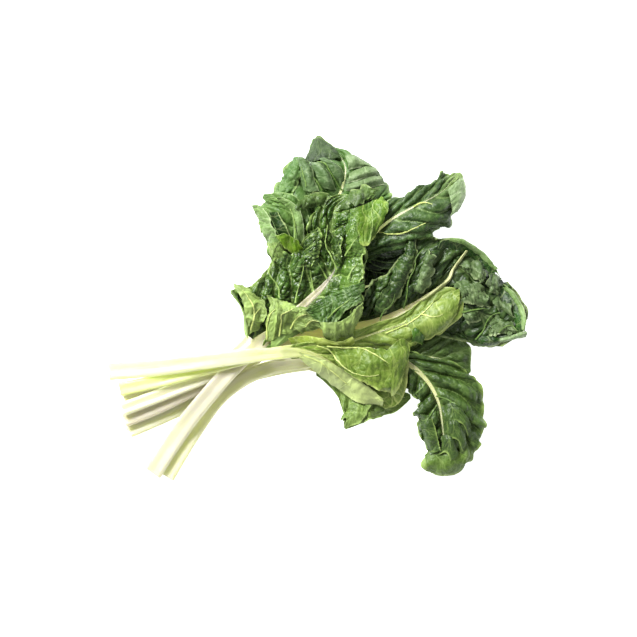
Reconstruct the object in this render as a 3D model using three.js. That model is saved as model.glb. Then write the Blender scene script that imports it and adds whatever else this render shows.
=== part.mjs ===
import * as THREE from "three";

// A bunch of chard lying on a flat surface: eleven leaves, each a pale fleshy stalk that runs on
// as the midrib of a thin, quilted, wavy-edged blade. The stalks cross and fan out again, and the
// blades lie over each other. Millimetres, +Z up. +X runs from the cut stalk ends to the leaf tips.

// ---- Driving dimensions -------------------------------------------------------------------

const BLADE_THICKNESS = 0.9;
const SLIT_GAP = 0.9; // clear width between a stalk and the blade on each side of it
const BLADE_SEAT = 0.62; // height of the blade's root on the stalk, as a share of its thickness
const SIDE_VEINS = 10; // on each half of a blade: a crease at each, and a crest between two
const ROWS = 2 * SIDE_VEINS; // rows of the blade's grid, along the side veins
const STALK_ROWS = 16; // the midrib is lost in the blade beyond this row
const ACROSS = [0, 0.12, 0.3, 0.5, 0.68, 0.85, 1]; // columns of a half blade, as shares of a row
const ROW_STEPS = 120; // steps in which a row's bent section is walked from midrib to margin
const VEIN_BEND = 14; // degrees that a side vein turns towards the tip on its way out
const LAST_FOLD = 0.92; // share of a row beyond which none is folded
const MIN_PLAN = 0.5; // a row folded over is as long as one that is seen this much shortened

const STALK_THICKNESS = 6; // at the cut end
const STALK_BASE_SHARE = 0.65; // width and thickness left where the blade begins
const STALK_TIP = 1.2; // least width and thickness of the midrib
const MIDRIB_TAPER = 1.4; // over 1, the midrib narrows sooner
const STEPS_PER_SPAN = 3; // rings of a bare stalk between two points of its path

const BLADE_GAP = 2; // clear height over a blade, under the leaf that lies on it
const STALK_GAP = 1.4; // clear height over a stalk
const SKIN = 0.6; // vertical allowance for half the blade's thickness
const DRAPE_SLOPE = 0.45; // steepest rise of a leaf towards what lifts it
const SAG_REACH = 5; // cells over which a lifted leaf is smoothed
const SETTLE_PASSES = 4; // the first bends a leaf widely, the others mend what it left
const CELL = 2; // of the height map that the leaves settle on
const MAP_HALF_X = 246;
const MAP_HALF_Y = 204;

const DARK = { color: 0x2f5a26, roughness: 0.45 };
const MID = { color: 0x4c7a35, roughness: 0.5 };
const YOUNG = { color: 0x9dbb4a, roughness: 0.5 };
const PALE = { color: 0xe9ecc6, roughness: 0.4 };

// ---- The leaves, from the lowest to the highest ---------------------------------------------

// petiole and midrib are points [x, y, z] of the stalk's underside, and the blade begins at the
// first point of midrib. For each half of a blade, as seen from the stalk towards the tip, pairs
// [share of the midrib, value] give:
//   reach    greatest distance of the margin from the midrib, seen from above
//   heading  degrees that a row leans from square towards the tip
//   tilt     degrees that the blade rises beside the midrib
//   roll     degrees that it turns further up, or down if negative, between the shares
//            rollFrom and rollTo of the row
const LEAVES = [
  {
    name: "leaf_middle_right",
    finish: MID,
    width: 14,
    petiole: [[-192, -118, 0], [-138, -95, 0], [-92, -76, 0], [-35, -62, 0], [15, -56, 0]],
    midrib: [[55, -53, 2], [75, -51, 7], [93, -49, 11], [110, -49, 12], [126, -52, 9],
      [140, -58, 5], [151, -65, 2]],
    left: {
      reach: [[0, 12], [0.17, 34], [0.33, 41], [0.5, 43], [0.67, 33], [0.83, 17], [1, 4]],
      heading: [[0, 30], [0.33, 46], [0.67, 40], [1, 70]],
      tilt: [[0, 15], [1, 0]],
      roll: [[0, -20], [0.5, -40], [1, -10]],
    },
    right: {
      reach: [[0, 8], [0.5, 20], [1, 4]],
      heading: [[0, 20], [1, 70]],
      tilt: [[0, 5], [1, 0]],
      roll: [[0, -20], [1, -10]],
    },
    ruffle: { height: 3, waves: 4, phase: 0.2 },
    quilt: 2,
  },
  {
    name: "leaf_lower",
    finish: YOUNG,
    width: 14,
    petiole: [[-187, -124, 0], [-138, -103, 0], [-97, -80, 0], [-60, -63, 0], [-27, -56, 0]],
    midrib: [[2, -62, 3], [22, -77, 9], [38, -86, 12], [55, -92, 12], [72, -93, 8], [91, -90, 3]],
    left: {
      reach: [[0, 5], [0.3, 20], [0.6, 24], [1, 5]],
      heading: [[0, 20], [1, 70]],
      tilt: [[0, 5], [1, 0]],
      roll: [[0, -20], [1, -10]],
    },
    right: {
      reach: [[0, 7], [0.15, 9], [0.25, 22], [0.3, 31], [0.35, 39], [0.4, 34], [0.5, 25],
        [0.65, 19], [0.8, 14], [1, 5]],
      heading: [[0, 30], [0.15, 45], [0.25, 38], [0.35, 20], [0.4, 22], [0.5, 20], [0.65, 10], [1, 70]],
      tilt: [[0, -10], [1, -10]],
      roll: [[0, 0], [0.3, 30], [0.5, 45], [0.7, -10], [1, -10]],
    },
    ruffle: { height: 3, waves: 4, phase: 0.5 },
    quilt: 2,
  },
  {
    name: "leaf_top",
    finish: MID,
    width: 14,
    petiole: [[-192, -94, 0], [-142, -78, 0], [-92, -58, 0], [-60, -30, 0], [-36, 12, 3]],
    midrib: [[-12, 52, 8], [5, 77, 14], [18, 100, 18], [27, 121, 20], [30, 138, 18],
      [25, 151, 12], [13, 160, 6], [3, 169, 2]],
    left: {
      reach: [[0, 33], [0.14, 54], [0.29, 61], [0.43, 60], [0.5, 57], [0.57, 50], [0.65, 40],
        [0.71, 33], [0.86, 19], [1, 4]],
      heading: [[0, -5], [0.29, -4], [0.43, 0], [0.5, 7], [0.57, 13], [0.65, 20], [0.71, 36],
        [0.86, 56], [1, 72]],
      tilt: [[0, 12], [0.6, 12], [1, 0]],
      roll: [[0, -30], [0.5, -45], [1, -20]],
    },
    right: {
      reach: [[0, 25], [0.14, 44], [0.29, 53], [0.43, 45], [0.57, 30], [0.71, 12], [0.8, 5],
        [0.9, 4], [1, 3]],
      heading: [[0, 30], [0.29, 30], [0.43, 18], [0.57, -2], [0.71, -20], [0.86, 10], [1, 65]],
      tilt: [[0, 10], [1, 0]],
      roll: [[0, -30], [0.5, -45], [1, -20]],
    },
    ruffle: { height: 3.5, waves: 5, phase: 0.1 },
    quilt: 4,
  },
  {
    name: "leaf_upper_left",
    finish: MID,
    width: 13,
    petiole: [[-194, -86, 0], [-145, -72, 0], [-97, -54, 0], [-70, -34, 0], [-49, 0, 0]],
    midrib: [[-30, 32, 5], [-22, 51, 10], [-19, 69, 13], [-19, 86, 14], [-24, 100, 12],
      [-35, 108, 9], [-49, 111, 6]],
    left: {
      reach: [[0, 14], [0.17, 28], [0.33, 33], [0.5, 38], [0.67, 37], [0.83, 16], [1, 4]],
      heading: [[0, 0], [0.5, 5], [0.67, 38], [0.83, 60], [1, 75]],
      tilt: [[0, 30], [0.5, 35], [1, 5]],
      roll: [[0, -40], [0.5, -60], [1, -10]],
    },
    right: {
      reach: [[0, 6], [0.17, 11], [0.5, 13], [0.67, 11], [0.83, 7], [1, 4]],
      heading: [[0, 20], [0.5, 10], [1, 60]],
      tilt: [[0, -10], [1, 0]],
      roll: [[0, -25], [1, -10]],
    },
    ruffle: { height: 3, waves: 4, phase: 0.7 },
    quilt: 3,
  },
  {
    name: "leaf_inner",
    finish: DARK,
    width: 14,
    petiole: [[-192, -106, 0], [-140, -88, 0], [-88, -67, 0], [-48, -44, 0], [-15, -19, 0]],
    midrib: [[14, 3, 4], [31, 13, 8], [48, 20, 9], [66, 25, 9], [84, 28, 6], [101, 29, 3]],
    left: {
      reach: [[0, 10], [0.4, 36], [0.7, 40], [0.85, 30], [1, 5]],
      heading: [[0, 10], [0.5, 25], [1, 70]],
      tilt: [[0, 10], [1, 0]],
      roll: [[0, -20], [1, -10]],
    },
    right: {
      reach: [[0, 10], [0.4, 30], [0.7, 28], [1, 5]],
      heading: [[0, 10], [0.5, 25], [1, 70]],
      tilt: [[0, 10], [1, 0]],
      roll: [[0, -20], [1, -10]],
    },
    ruffle: { height: 3, waves: 4, phase: 0.4 },
    quilt: 3,
  },
  {
    name: "leaf_lower_right",
    finish: DARK,
    width: 17,
    petiole: [[-150, -170, 0], [-123, -126, 0], [-93, -87, 0], [-53, -63, 0], [-5, -54, 0],
      [35, -49, 2]],
    midrib: [[67, -46, 5], [87, -53, 10], [104, -65, 13], [117, -81, 14], [124, -98, 14],
      [127, -116, 12], [129, -134, 9], [130, -150, 5], [131, -164, 2]],
    left: {
      reach: [[0, 12], [0.125, 24], [0.25, 46], [0.375, 48], [0.5, 45], [0.625, 42], [0.75, 35],
        [0.875, 21], [1, 4]],
      heading: [[0, 52], [0.125, 54], [0.25, 45], [0.375, 28], [0.5, 18], [0.75, 15], [0.9, 35], [1, 75]],
      tilt: [[0, 12], [0.6, 14], [1, 0]],
      roll: [[0, -20], [0.5, -45], [1, -10]],
    },
    right: {
      reach: [[0, 11], [0.125, 24], [0.25, 22], [0.375, 18], [0.5, 23], [0.625, 25], [0.75, 20],
        [0.82, 17], [0.88, 24], [0.94, 15], [1, 4]],
      heading: [[0, 25], [0.375, 15], [0.5, 0], [0.8, 0], [0.94, 30], [1, 75]],
      tilt: [[0, 12], [0.6, 14], [1, 0]],
      roll: [[0, -20], [0.5, -55], [1, -10]],
    },
    ruffle: { height: 2.5, waves: 5, phase: 0.3 },
    quilt: 4.5,
  },
  {
    name: "leaf_right",
    finish: DARK,
    width: 17,
    petiole: [[-192, -112, 0], [-148, -94, 0], [-105, -72, 0], [-62, -45, 0], [-18, -29, 0]],
    midrib: [[21, -23, 5], [43, -20, 11], [65, -14, 16], [87, -4, 20], [106, 7, 23], [122, 21, 24],
      [136, 36, 23], [149, 47, 19], [162, 50, 14], [174, 46, 9]],
    left: {
      reach: [[0, 20], [0.05, 22], [0.1, 27], [0.15, 34], [0.22, 42], [0.33, 41], [0.4, 52],
        [0.48, 58], [0.56, 47], [0.66, 30], [0.72, 18], [0.78, 11], [0.89, 6], [1, 3]],
      heading: [[0, 30], [0.1, 25], [0.3, 6], [0.45, 26], [0.56, 44], [0.66, 54], [0.78, 62], [1, 76]],
      tilt: [[0, 25], [0.5, 30], [0.7, 20], [1, 30]],
      roll: [[0, 125], [0.05, 115], [0.12, 50], [0.2, 0], [0.5, -60], [0.7, 30], [1, 30]],
      rollFrom: [[0, 0.16], [0.05, 0.22], [0.1, 0.35], [0.15, 0.5], [0.22, 0]],
      rollTo: [[0, 0.45], [0.05, 0.52], [0.1, 0.75], [0.15, 1]],
    },
    right: {
      reach: [[0, 9], [0.2, 20], [0.4, 38], [0.5, 62], [0.55, 78], [0.65, 96], [0.7, 88],
        [0.75, 77], [0.8, 63], [0.85, 50], [0.9, 36], [0.95, 22], [1, 6]],
      heading: [[0, 20], [0.4, 5], [0.55, -6], [0.65, 4], [0.7, 10], [0.75, 18], [0.8, 33],
        [0.85, 43], [0.9, 51], [1, 65]],
      tilt: [[0, -10], [0.5, -5], [1, 5]],
      roll: [[0, -10], [0.55, -20], [0.66, 55], [0.8, 50], [0.95, 10]],
      rollFrom: [[0, 0], [0.5, 0], [0.6, 0.72]],
    },
    ruffle: { height: 4, waves: 5, phase: 0.6 },
    quilt: 4,
  },
  {
    name: "leaf_upper_right",
    finish: DARK,
    width: 14,
    petiole: [[-193, -102, 0], [-143, -83, 0], [-88, -60, 0], [-42, -27, 0], [1, 16, 4]],
    midrib: [[35, 51, 10], [53, 69, 18], [72, 85, 24], [90, 96, 27], [108, 105, 27],
      [124, 114, 24], [135, 124, 18], [144, 133, 10]],
    left: {
      reach: [[0, 10], [0.14, 15], [0.29, 19], [0.43, 17], [0.57, 18], [0.71, 20], [0.86, 11], [1, 3]],
      heading: [[0, 30], [0.5, 35], [1, 72]],
      tilt: [[0, 5], [1, 0]],
      roll: [[0, -40], [0.5, -70], [1, -20]],
    },
    right: {
      reach: [[0, 16], [0.14, 24], [0.29, 31], [0.43, 32], [0.57, 31], [0.71, 26], [0.86, 15],
        [0.93, 9], [1, 3]],
      heading: [[0, 10], [0.6, 10], [0.86, 25], [1, 72]],
      tilt: [[0, -10], [0.5, 0], [1, 0]],
      roll: [[0, -50], [0.5, -75], [1, -20]],
    },
    ruffle: { height: 3.5, waves: 5, phase: 0.8 },
    quilt: 3,
  },
  {
    name: "leaf_left",
    finish: DARK,
    width: 20,
    petiole: [[-164, -166, 0], [-136, -124, 0], [-108, -89, 0], [-83, -61, 0]],
    midrib: [[-57, -37, 6], [-40, -24, 10], [-23, -8, 14], [-6, 8, 18], [10, 24, 21], [20, 41, 21],
      [18, 61, 18], [16, 80, 15], [19, 96, 11], [30, 108, 7]],
    left: {
      reach: [[0, 18], [0.05, 34], [0.1, 58], [0.15, 56], [0.22, 51], [0.33, 52], [0.44, 58],
        [0.55, 47], [0.61, 40], [0.66, 33], [0.77, 22], [0.88, 16], [1, 5]],
      heading: [[0, -3], [0.05, -1], [0.1, 0], [0.22, -8], [0.33, -13], [0.44, -14], [0.5, -8],
        [0.55, 1], [0.6, 18], [0.66, 20], [0.77, 20], [1, 70]],
      tilt: [[0, 20], [0.5, 15], [1, 5]],
      roll: [[0, 125], [0.05, 110], [0.1, 50], [0.15, 5], [0.2, 0], [0.5, -40], [1, -20]],
      rollFrom: [[0, 0.4], [0.05, 0.5], [0.1, 0.65], [0.16, 0.7], [0.22, 0]],
      rollTo: [[0, 0.8], [0.05, 0.9], [0.1, 1]],
    },
    right: {
      reach: [[0, 35], [0.11, 30], [0.22, 30], [0.29, 36], [0.35, 43], [0.44, 41], [0.55, 28],
        [0.66, 28], [0.77, 30], [0.84, 50], [0.9, 52], [0.95, 38], [1, 8]],
      heading: [[0, 45], [0.11, 46], [0.22, 30], [0.33, 20], [0.44, 15], [0.66, 8], [0.77, 2],
        [0.84, 8], [0.9, 33], [0.95, 50], [1, 72]],
      tilt: [[0, 18], [0.5, 20], [1, 10]],
      roll: [[0, 150], [0.18, 140], [0.35, 10], [0.45, 45], [0.77, 45], [0.88, -20], [1, -20]],
      rollFrom: [[0, 0.07], [0.11, 0.2], [0.2, 0.45], [0.3, 0.7], [0.4, 0.5]],
      rollTo: [[0, 0.28], [0.11, 0.45], [0.2, 0.75], [0.3, 1], [0.4, 1]],
    },
    ruffle: { height: 3.2, waves: 4, phase: 0.15 },
    quilt: 3.5,
  },
  {
    name: "leaf_young_back",
    finish: YOUNG,
    width: 14,
    petiole: [[-196, -82, 0], [-150, -72, 0], [-100, -59, 0], [-53, -47, 0], [-15, -40, 2]],
    midrib: [[11, -37, 6], [33, -34, 10], [55, -27, 14], [77, -20, 17], [96, -13, 19], [112, -3, 19],
      [128, 8, 16], [144, 17, 12]],
    left: {
      reach: [[0, 8], [0.2, 10], [0.4, 10], [0.6, 13], [0.8, 15], [0.92, 10], [1, 5]],
      heading: [[0, 20], [0.8, 30], [1, 72]],
      tilt: [[0, 30], [1, 10]],
      roll: [[0, -10], [0.5, 15], [1, -10]],
    },
    right: {
      reach: [[0, 3], [0.2, 12], [0.35, 20], [0.5, 25], [0.58, 14], [0.68, 26], [0.8, 27],
        [0.92, 16], [1, 5]],
      heading: [[0, 20], [0.5, 5], [0.68, 5], [0.85, 30], [1, 72]],
      tilt: [[0, -10], [0.6, 0], [1, 0]],
      roll: [[0, -30], [0.5, -60], [1, -30]],
    },
    ruffle: { height: 1.6, waves: 4, phase: 0.3 },
    quilt: 1.5,
  },
  {
    name: "leaf_young_front",
    finish: YOUNG,
    width: 20,
    petiole: [[-207, -63, 0], [-165, -60, 0], [-115, -54, 0], [-65, -48, 2]],
    midrib: [[-25, -45, 5], [-3, -47, 9], [16, -56, 12], [33, -69, 13], [51, -84, 11], [69, -98, 6]],
    left: {
      reach: [[0, 9], [0.2, 23], [0.4, 46], [0.5, 55], [0.6, 60], [0.8, 45], [1, 6]],
      heading: [[0, 40], [0.2, 50], [0.4, 40], [0.6, 30], [0.8, 27], [1, 72]],
      tilt: [[0, 20], [0.5, 30], [1, 5]],
      roll: [[0, -10], [0.5, -55], [1, -20]],
    },
    right: {
      reach: [[0, 4], [0.2, 9], [0.5, 13], [0.8, 10], [1, 4]],
      heading: [[0, 30], [1, 70]],
      tilt: [[0, -15], [1, -5]],
      roll: [[0, -20], [1, -10]],
    },
    ruffle: { height: 2.5, waves: 4, phase: 0.9 },
    quilt: 2,
  },
];

const ROW_START = [[0, 0]];
const ROW_END = [[0, 1]];

// ---- Curves and small helpers -----------------------------------------------------------------

const UP = new THREE.Vector3(0, 0, 1);
const radians = THREE.MathUtils.degToRad;
const smooth = (x) => THREE.MathUtils.smoothstep(x, 0, 1);

// The value at t of a smooth curve through pairs [t, value]. It keeps within neighbouring pairs,
// and beyond the ends it is level.
function keyed(pairs, t) {
  const last = pairs.length - 1;
  if (t <= pairs[0][0]) return pairs[0][1];
  if (t >= pairs[last][0]) return pairs[last][1];
  const i = pairs.findIndex(([at]) => at > t) - 1;
  const secant = (k) => (pairs[k + 1][1] - pairs[k][1]) / (pairs[k + 1][0] - pairs[k][0]);
  const slope = (k) => {
    if (k === 0 || k === last) return secant(Math.min(k, last - 1));
    const [before, after] = [secant(k - 1), secant(k)];
    return before * after <= 0 ? 0 : (2 * before * after) / (before + after);
  };
  const span = pairs[i + 1][0] - pairs[i][0];
  const f = (t - pairs[i][0]) / span;
  const [a, b] = [pairs[i][1], pairs[i + 1][1]];
  return (
    a * (2 * f ** 3 - 3 * f ** 2 + 1) +
    b * (3 * f ** 2 - 2 * f ** 3) +
    slope(i) * span * (f ** 3 - 2 * f ** 2 + f) +
    slope(i + 1) * span * (f ** 3 - f ** 2)
  );
}

// Place and directions at u, counted in points, on the curve through a leaf's path.
function pathFrame(path, u) {
  const i = Math.min(Math.floor(u), path.length - 2);
  const f = u - i;
  const point = (k) => new THREE.Vector3(...path[Math.min(Math.max(k, 0), path.length - 1)]);
  const [p0, p1, p2, p3] = [point(i - 1), point(i), point(i + 1), point(i + 2)];
  const blend = (w0, w1, w2, w3) =>
    p0.clone().multiplyScalar(w0).addScaledVector(p1, w1).addScaledVector(p2, w2).addScaledVector(p3, w3);
  const at = blend(
    (-f + 2 * f ** 2 - f ** 3) / 2,
    (2 - 5 * f ** 2 + 3 * f ** 3) / 2,
    (f + 4 * f ** 2 - 3 * f ** 3) / 2,
    (-(f ** 2) + f ** 3) / 2,
  );
  const forward = blend(
    (-1 + 4 * f - 3 * f ** 2) / 2,
    (-10 * f + 9 * f ** 2) / 2,
    (1 + 8 * f - 9 * f ** 2) / 2,
    (-2 * f + 3 * f ** 2) / 2,
  ).normalize();
  const side = new THREE.Vector3(-forward.y, forward.x, 0).normalize();
  return { at, forward, side };
}

// Width and thickness of a leaf's stalk at u on its path.
function stalkSize(leaf, u) {
  const base = leaf.petiole.length;
  if (u < base) {
    const share = 1 - (1 - STALK_BASE_SHARE) * (u / base);
    return { width: leaf.width * share, thickness: STALK_THICKNESS * share };
  }
  const left = (1 - (u - base) / (leaf.midrib.length - 1)) ** MIDRIB_TAPER;
  return {
    width: leaf.width * STALK_BASE_SHARE * left + STALK_TIP * (1 - left),
    thickness: STALK_THICKNESS * STALK_BASE_SHARE * left + STALK_TIP * (1 - left),
  };
}

// ---- A blade ------------------------------------------------------------------------------------

// The points of one row of a half blade, from the midrib to the margin, at share t of the midrib.
function bladeRow(leaf, half, sign, t) {
  const path = [...leaf.petiole, ...leaf.midrib];
  const u = leaf.petiole.length + t * (leaf.midrib.length - 1);
  const { at, forward, side } = pathFrame(path, u);
  const up = forward.clone().cross(side);
  const stalk = stalkSize(leaf, u);
  const offset = t > STALK_ROWS / ROWS + 1e-6 ? 0 : stalk.width / 2 + SLIT_GAP;
  const root = at.clone().addScaledVector(side, sign * offset);
  root.addScaledVector(up, BLADE_SEAT * stalk.thickness);

  const [from, to] = [keyed(half.rollFrom ?? ROW_START, t), keyed(half.rollTo ?? ROW_END, t)];
  const [tilt, roll, heading] = [keyed(half.tilt, t), keyed(half.roll, t), keyed(half.heading, t)];
  const walk = [{ place: new THREE.Vector3(), normal: up, plan: 0 }];
  const place = new THREE.Vector3();
  let plan = 0;
  for (let k = 0; k < ROW_STEPS; k++) {
    const s = (k + 0.5) / ROW_STEPS;
    const rise = radians(tilt + roll * smooth((s - from) / (to - from)));
    const lean = radians(heading + VEIN_BEND * (s - 0.5));
    const out = Math.cos(lean) / ROW_STEPS;
    place.addScaledVector(forward, Math.sin(lean) / ROW_STEPS);
    place.addScaledVector(side, sign * out * Math.cos(rise)).addScaledVector(up, out * Math.sin(rise));
    plan += Math.cos(rise) / ROW_STEPS;
    const normal = up.clone().multiplyScalar(Math.cos(rise)).addScaledVector(side, -sign * Math.sin(rise));
    walk.push({ place: place.clone(), normal, plan });
  }
  const seen = Math.max(...walk.map((step) => step.plan), MIN_PLAN);
  const length = Math.max(keyed(half.reach, t) - offset, 2) / seen;
  // Short, slanting and folded rows are calmer.
  const unrolled = 1 - 0.8 * smooth((Math.abs(roll) - 60) / 60);
  const calm = smooth(length / 24) * Math.cos(radians(heading)) * unrolled;
  // In a folded row four of the columns follow the fold.
  const folded = THREE.MathUtils.clamp((Math.abs(roll) - 50) / 80, 0, 1);
  const end = Math.min(to, LAST_FOLD);
  const start = Math.min(from, end - 0.1);
  const turns = [0, start, (2 * start + end) / 3, (start + 2 * end) / 3, end, (end + 1) / 2, 1];
  return ACROSS.map((share, j) => {
    const s = share + folded * (turns[j] - share);
    const step = walk[Math.round(s * ROW_STEPS)];
    const lift = calm * relief(leaf, sign, t, s);
    return root.clone().addScaledVector(step.place, length).addScaledVector(step.normal, lift);
  });
}

// Height of a blade's quilting, waves and creases above its smooth section.
function relief(leaf, sign, t, s) {
  const crest = Math.sin(Math.PI * SIDE_VEINS * t) ** 2;
  const quilt = leaf.quilt * crest * smooth(s / 0.3) * (1 - 0.5 * s);
  const { height, waves, phase } = leaf.ruffle;
  const turn = 2 * Math.PI;
  const ruffle = height * s ** 2 * Math.sin(turn * (waves * t + phase + (sign > 0 ? 0 : 0.37)));
  const crumple =
    height * smooth(s / 0.4) * 0.5 * Math.sin(turn * (1.7 * t + 0.8 * s + 2.3 * phase)) *
    Math.sin(turn * (1.1 * s + 3.1 * phase + (sign > 0 ? 0 : 0.5)));
  return (quilt + ruffle + crumple) * smooth((1 - t) / 0.12) * smooth((t + 0.02) / 0.1);
}

// The blade's middle surface: vertices, and triangles turned anticlockwise seen from above.
// Its halves are apart beside the stalk and share the midrib's vertices beyond it.
function bladeSheet(leaf) {
  const vertices = [];
  const triangles = [];
  const columns = { 1: [], [-1]: [] };
  for (let i = 0; i <= ROWS; i++) {
    for (const [sign, half] of [[1, leaf.left], [-1, leaf.right]]) {
      const row = bladeRow(leaf, half, sign, i / ROWS);
      columns[sign].push(
        row.map((vertex, j) => {
          if (j === 0 && i > STALK_ROWS && sign < 0) return columns[1][i][0];
          return vertices.push(vertex) - 1;
        }),
      );
    }
  }
  const face = (a, b, c, sign) => triangles.push(sign > 0 ? [a, b, c] : [a, c, b]);
  for (const sign of [1, -1]) {
    for (let i = 0; i < ROWS; i++) {
      for (let j = 0; j < ACROSS.length - 1; j++) {
        const [a, b] = [columns[sign][i][j], columns[sign][i + 1][j]];
        const [c, d] = [columns[sign][i][j + 1], columns[sign][i + 1][j + 1]];
        if ((i + j) % 2) {
          face(a, b, c, sign);
          face(b, d, c, sign);
        } else {
          face(a, b, d, sign);
          face(a, d, c, sign);
        }
      }
    }
  }
  // The wedge of blade between the last rows of the two halves is the leaf's tip.
  const [left, right] = [columns[1][ROWS], columns[-1][ROWS]];
  triangles.push([left[0], right[1], left[1]]);
  for (let j = 1; j < ACROSS.length - 1; j++) {
    triangles.push([left[j], right[j], right[j + 1]], [left[j], right[j + 1], left[j + 1]]);
  }
  return { vertices, triangles };
}

// A closed solid round a sheet, half the thickness to each side of it.
function thicken({ vertices, triangles }, thickness) {
  const normals = vertices.map(() => new THREE.Vector3());
  const edges = new Map();
  for (const [a, b, c] of triangles) {
    const ab = vertices[b].clone().sub(vertices[a]);
    const normal = ab.cross(vertices[c].clone().sub(vertices[a]));
    [a, b, c].forEach((k) => normals[k].add(normal));
    [[a, b], [b, c], [c, a]].forEach(([p, q]) => edges.set(`${p},${q}`, [p, q]));
  }
  normals.forEach((normal) => normal.setLength(thickness / 2));
  const count = vertices.length;
  const positions = [
    ...vertices.map((v, k) => v.clone().add(normals[k])),
    ...vertices.map((v, k) => v.clone().sub(normals[k])),
  ];
  const faces = [];
  for (const [a, b, c] of triangles) {
    faces.push([a, b, c], [count + a, count + c, count + b]);
  }
  for (const [p, q] of edges.values()) {
    if (edges.has(`${q},${p}`)) continue;
    faces.push([p, count + p, count + q], [p, count + q, q]);
  }
  return { vertices: positions, triangles: faces };
}

// ---- A stalk --------------------------------------------------------------------------------------

// Outline of a stalk's section, [across, up] in shares of its width and thickness: flat below,
// rounded at the sides, and channelled above.
const STALK_SECTION = [
  [-0.28, 0], [0.28, 0], [0.5, 0.5], [0.36, 0.95], [0, 0.8], [-0.36, 0.95], [-0.5, 0.5],
];

function stalkSolid(leaf) {
  const path = [...leaf.petiole, ...leaf.midrib];
  const base = leaf.petiole.length;
  const stations = [];
  for (let k = 0; k < base * STEPS_PER_SPAN; k++) stations.push(k / STEPS_PER_SPAN);
  for (let i = 0; i <= STALK_ROWS; i++) {
    stations.push(base + (i / ROWS) * (leaf.midrib.length - 1));
  }
  const vertices = [];
  for (const u of stations) {
    const { at, forward, side } = pathFrame(path, u);
    const { width, thickness } = stalkSize(leaf, u);
    const up = forward.clone().cross(side);
    for (const [across, rise] of STALK_SECTION) {
      vertices.push(at.clone().addScaledVector(side, -across * width).addScaledVector(up, rise * thickness));
    }
  }
  const round = STALK_SECTION.length;
  const triangles = [];
  for (let i = 0; i < stations.length - 1; i++) {
    for (let k = 0; k < round; k++) {
      const [a, b] = [i * round + k, i * round + ((k + 1) % round)];
      triangles.push([a, a + round, b], [b, a + round, b + round]);
    }
  }
  const end = (stations.length - 1) * round;
  const cap = THREE.ShapeUtils.triangulateShape(
    STALK_SECTION.map(([across, rise]) => new THREE.Vector2(across, rise)),
    [],
  );
  for (const [a, b, c] of cap) {
    triangles.push([a, b, c], [end + a, end + c, end + b]);
  }
  return { vertices, triangles };
}

// ---- Settling: each leaf is lifted clear of the leaves below it --------------------------------------

const MAP_NX = Math.ceil((2 * MAP_HALF_X) / CELL);
const MAP_NY = Math.ceil((2 * MAP_HALF_Y) / CELL);

function mapOf(value) {
  return new Float64Array(MAP_NX * MAP_NY).fill(value);
}

// Calls visit(cell, z) for points close together all over the triangles.
function scan({ vertices, triangles }, visit) {
  for (const [a, b, c] of triangles) {
    const [p, q, r] = [vertices[a], vertices[b], vertices[c]];
    const longest = Math.max(p.distanceTo(q), q.distanceTo(r), r.distanceTo(p));
    const steps = Math.ceil(longest / (0.6 * CELL));
    for (let i = 0; i <= steps; i++) {
      for (let j = 0; j <= steps - i; j++) {
        const [wq, wr] = [i / steps, j / steps];
        const wp = 1 - wq - wr;
        const cx = Math.floor((wp * p.x + wq * q.x + wr * r.x + MAP_HALF_X) / CELL);
        const cy = Math.floor((wp * p.y + wq * q.y + wr * r.y + MAP_HALF_Y) / CELL);
        visit(cy * MAP_NX + cx, wp * p.z + wq * q.z + wr * r.z);
      }
    }
  }
}

// The map with each cell the highest of its neighbourhood, less slope for each cell's distance.
function spread(map, slope, passes) {
  const out = map.slice();
  const near = [[-1, 0, 1], [0, -1, 1], [-1, -1, Math.SQRT2], [1, -1, Math.SQRT2]];
  const relax = (x, y, turn) => {
    for (const [dx, dy, far] of near) {
      const [nx, ny] = [x + turn * dx, y + turn * dy];
      if (nx < 0 || ny < 0 || nx >= MAP_NX || ny >= MAP_NY) continue;
      const height = out[ny * MAP_NX + nx] - slope * far * CELL;
      if (height > out[y * MAP_NX + x]) out[y * MAP_NX + x] = height;
    }
  };
  for (let pass = 0; pass < passes; pass++) {
    for (let y = 0; y < MAP_NY; y++) for (let x = 0; x < MAP_NX; x++) relax(x, y, 1);
    for (let y = MAP_NY - 1; y >= 0; y--) for (let x = MAP_NX - 1; x >= 0; x--) relax(x, y, -1);
  }
  return out;
}

// The highest value within one cell.
function widen(map) {
  const out = map.slice();
  for (let y = 1; y < MAP_NY - 1; y++) {
    for (let x = 1; x < MAP_NX - 1; x++) {
      for (let dy = -1; dy <= 1; dy++) {
        for (let dx = -1; dx <= 1; dx++) {
          const k = y * MAP_NX + x;
          out[k] = Math.max(out[k], map[k + dy * MAP_NX + dx]);
        }
      }
    }
  }
  return out;
}

// The mean within a square of cells, taken along x and then along y.
function blur(map, reach) {
  let out = map;
  for (const [dx, dy] of [[1, 0], [0, 1]]) {
    const from = out;
    out = mapOf(0);
    for (let y = 0; y < MAP_NY; y++) {
      for (let x = 0; x < MAP_NX; x++) {
        let sum = 0;
        for (let k = -reach; k <= reach; k++) {
          const cx = Math.min(Math.max(x + k * dx, 0), MAP_NX - 1);
          const cy = Math.min(Math.max(y + k * dy, 0), MAP_NY - 1);
          sum += from[cy * MAP_NX + cx];
        }
        out[y * MAP_NX + x] = sum / (2 * reach + 1);
      }
    }
  }
  return out;
}

// How far a leaf must rise at each cell to lie on the surface and clear of the leaves below.
function liftMap(sheets, ground, reach) {
  const need = mapOf(0);
  for (const { solid, skin } of sheets) {
    scan(solid, (cell, z) => {
      need[cell] = Math.max(need[cell], ground[cell] + skin - z);
    });
  }
  let lift = spread(need, DRAPE_SLOPE, 1);
  for (const cells of [reach, reach, reach, 1]) {
    lift = blur(lift, cells).map((height, cell) => Math.max(height, need[cell]));
  }
  return lift;
}

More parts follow.
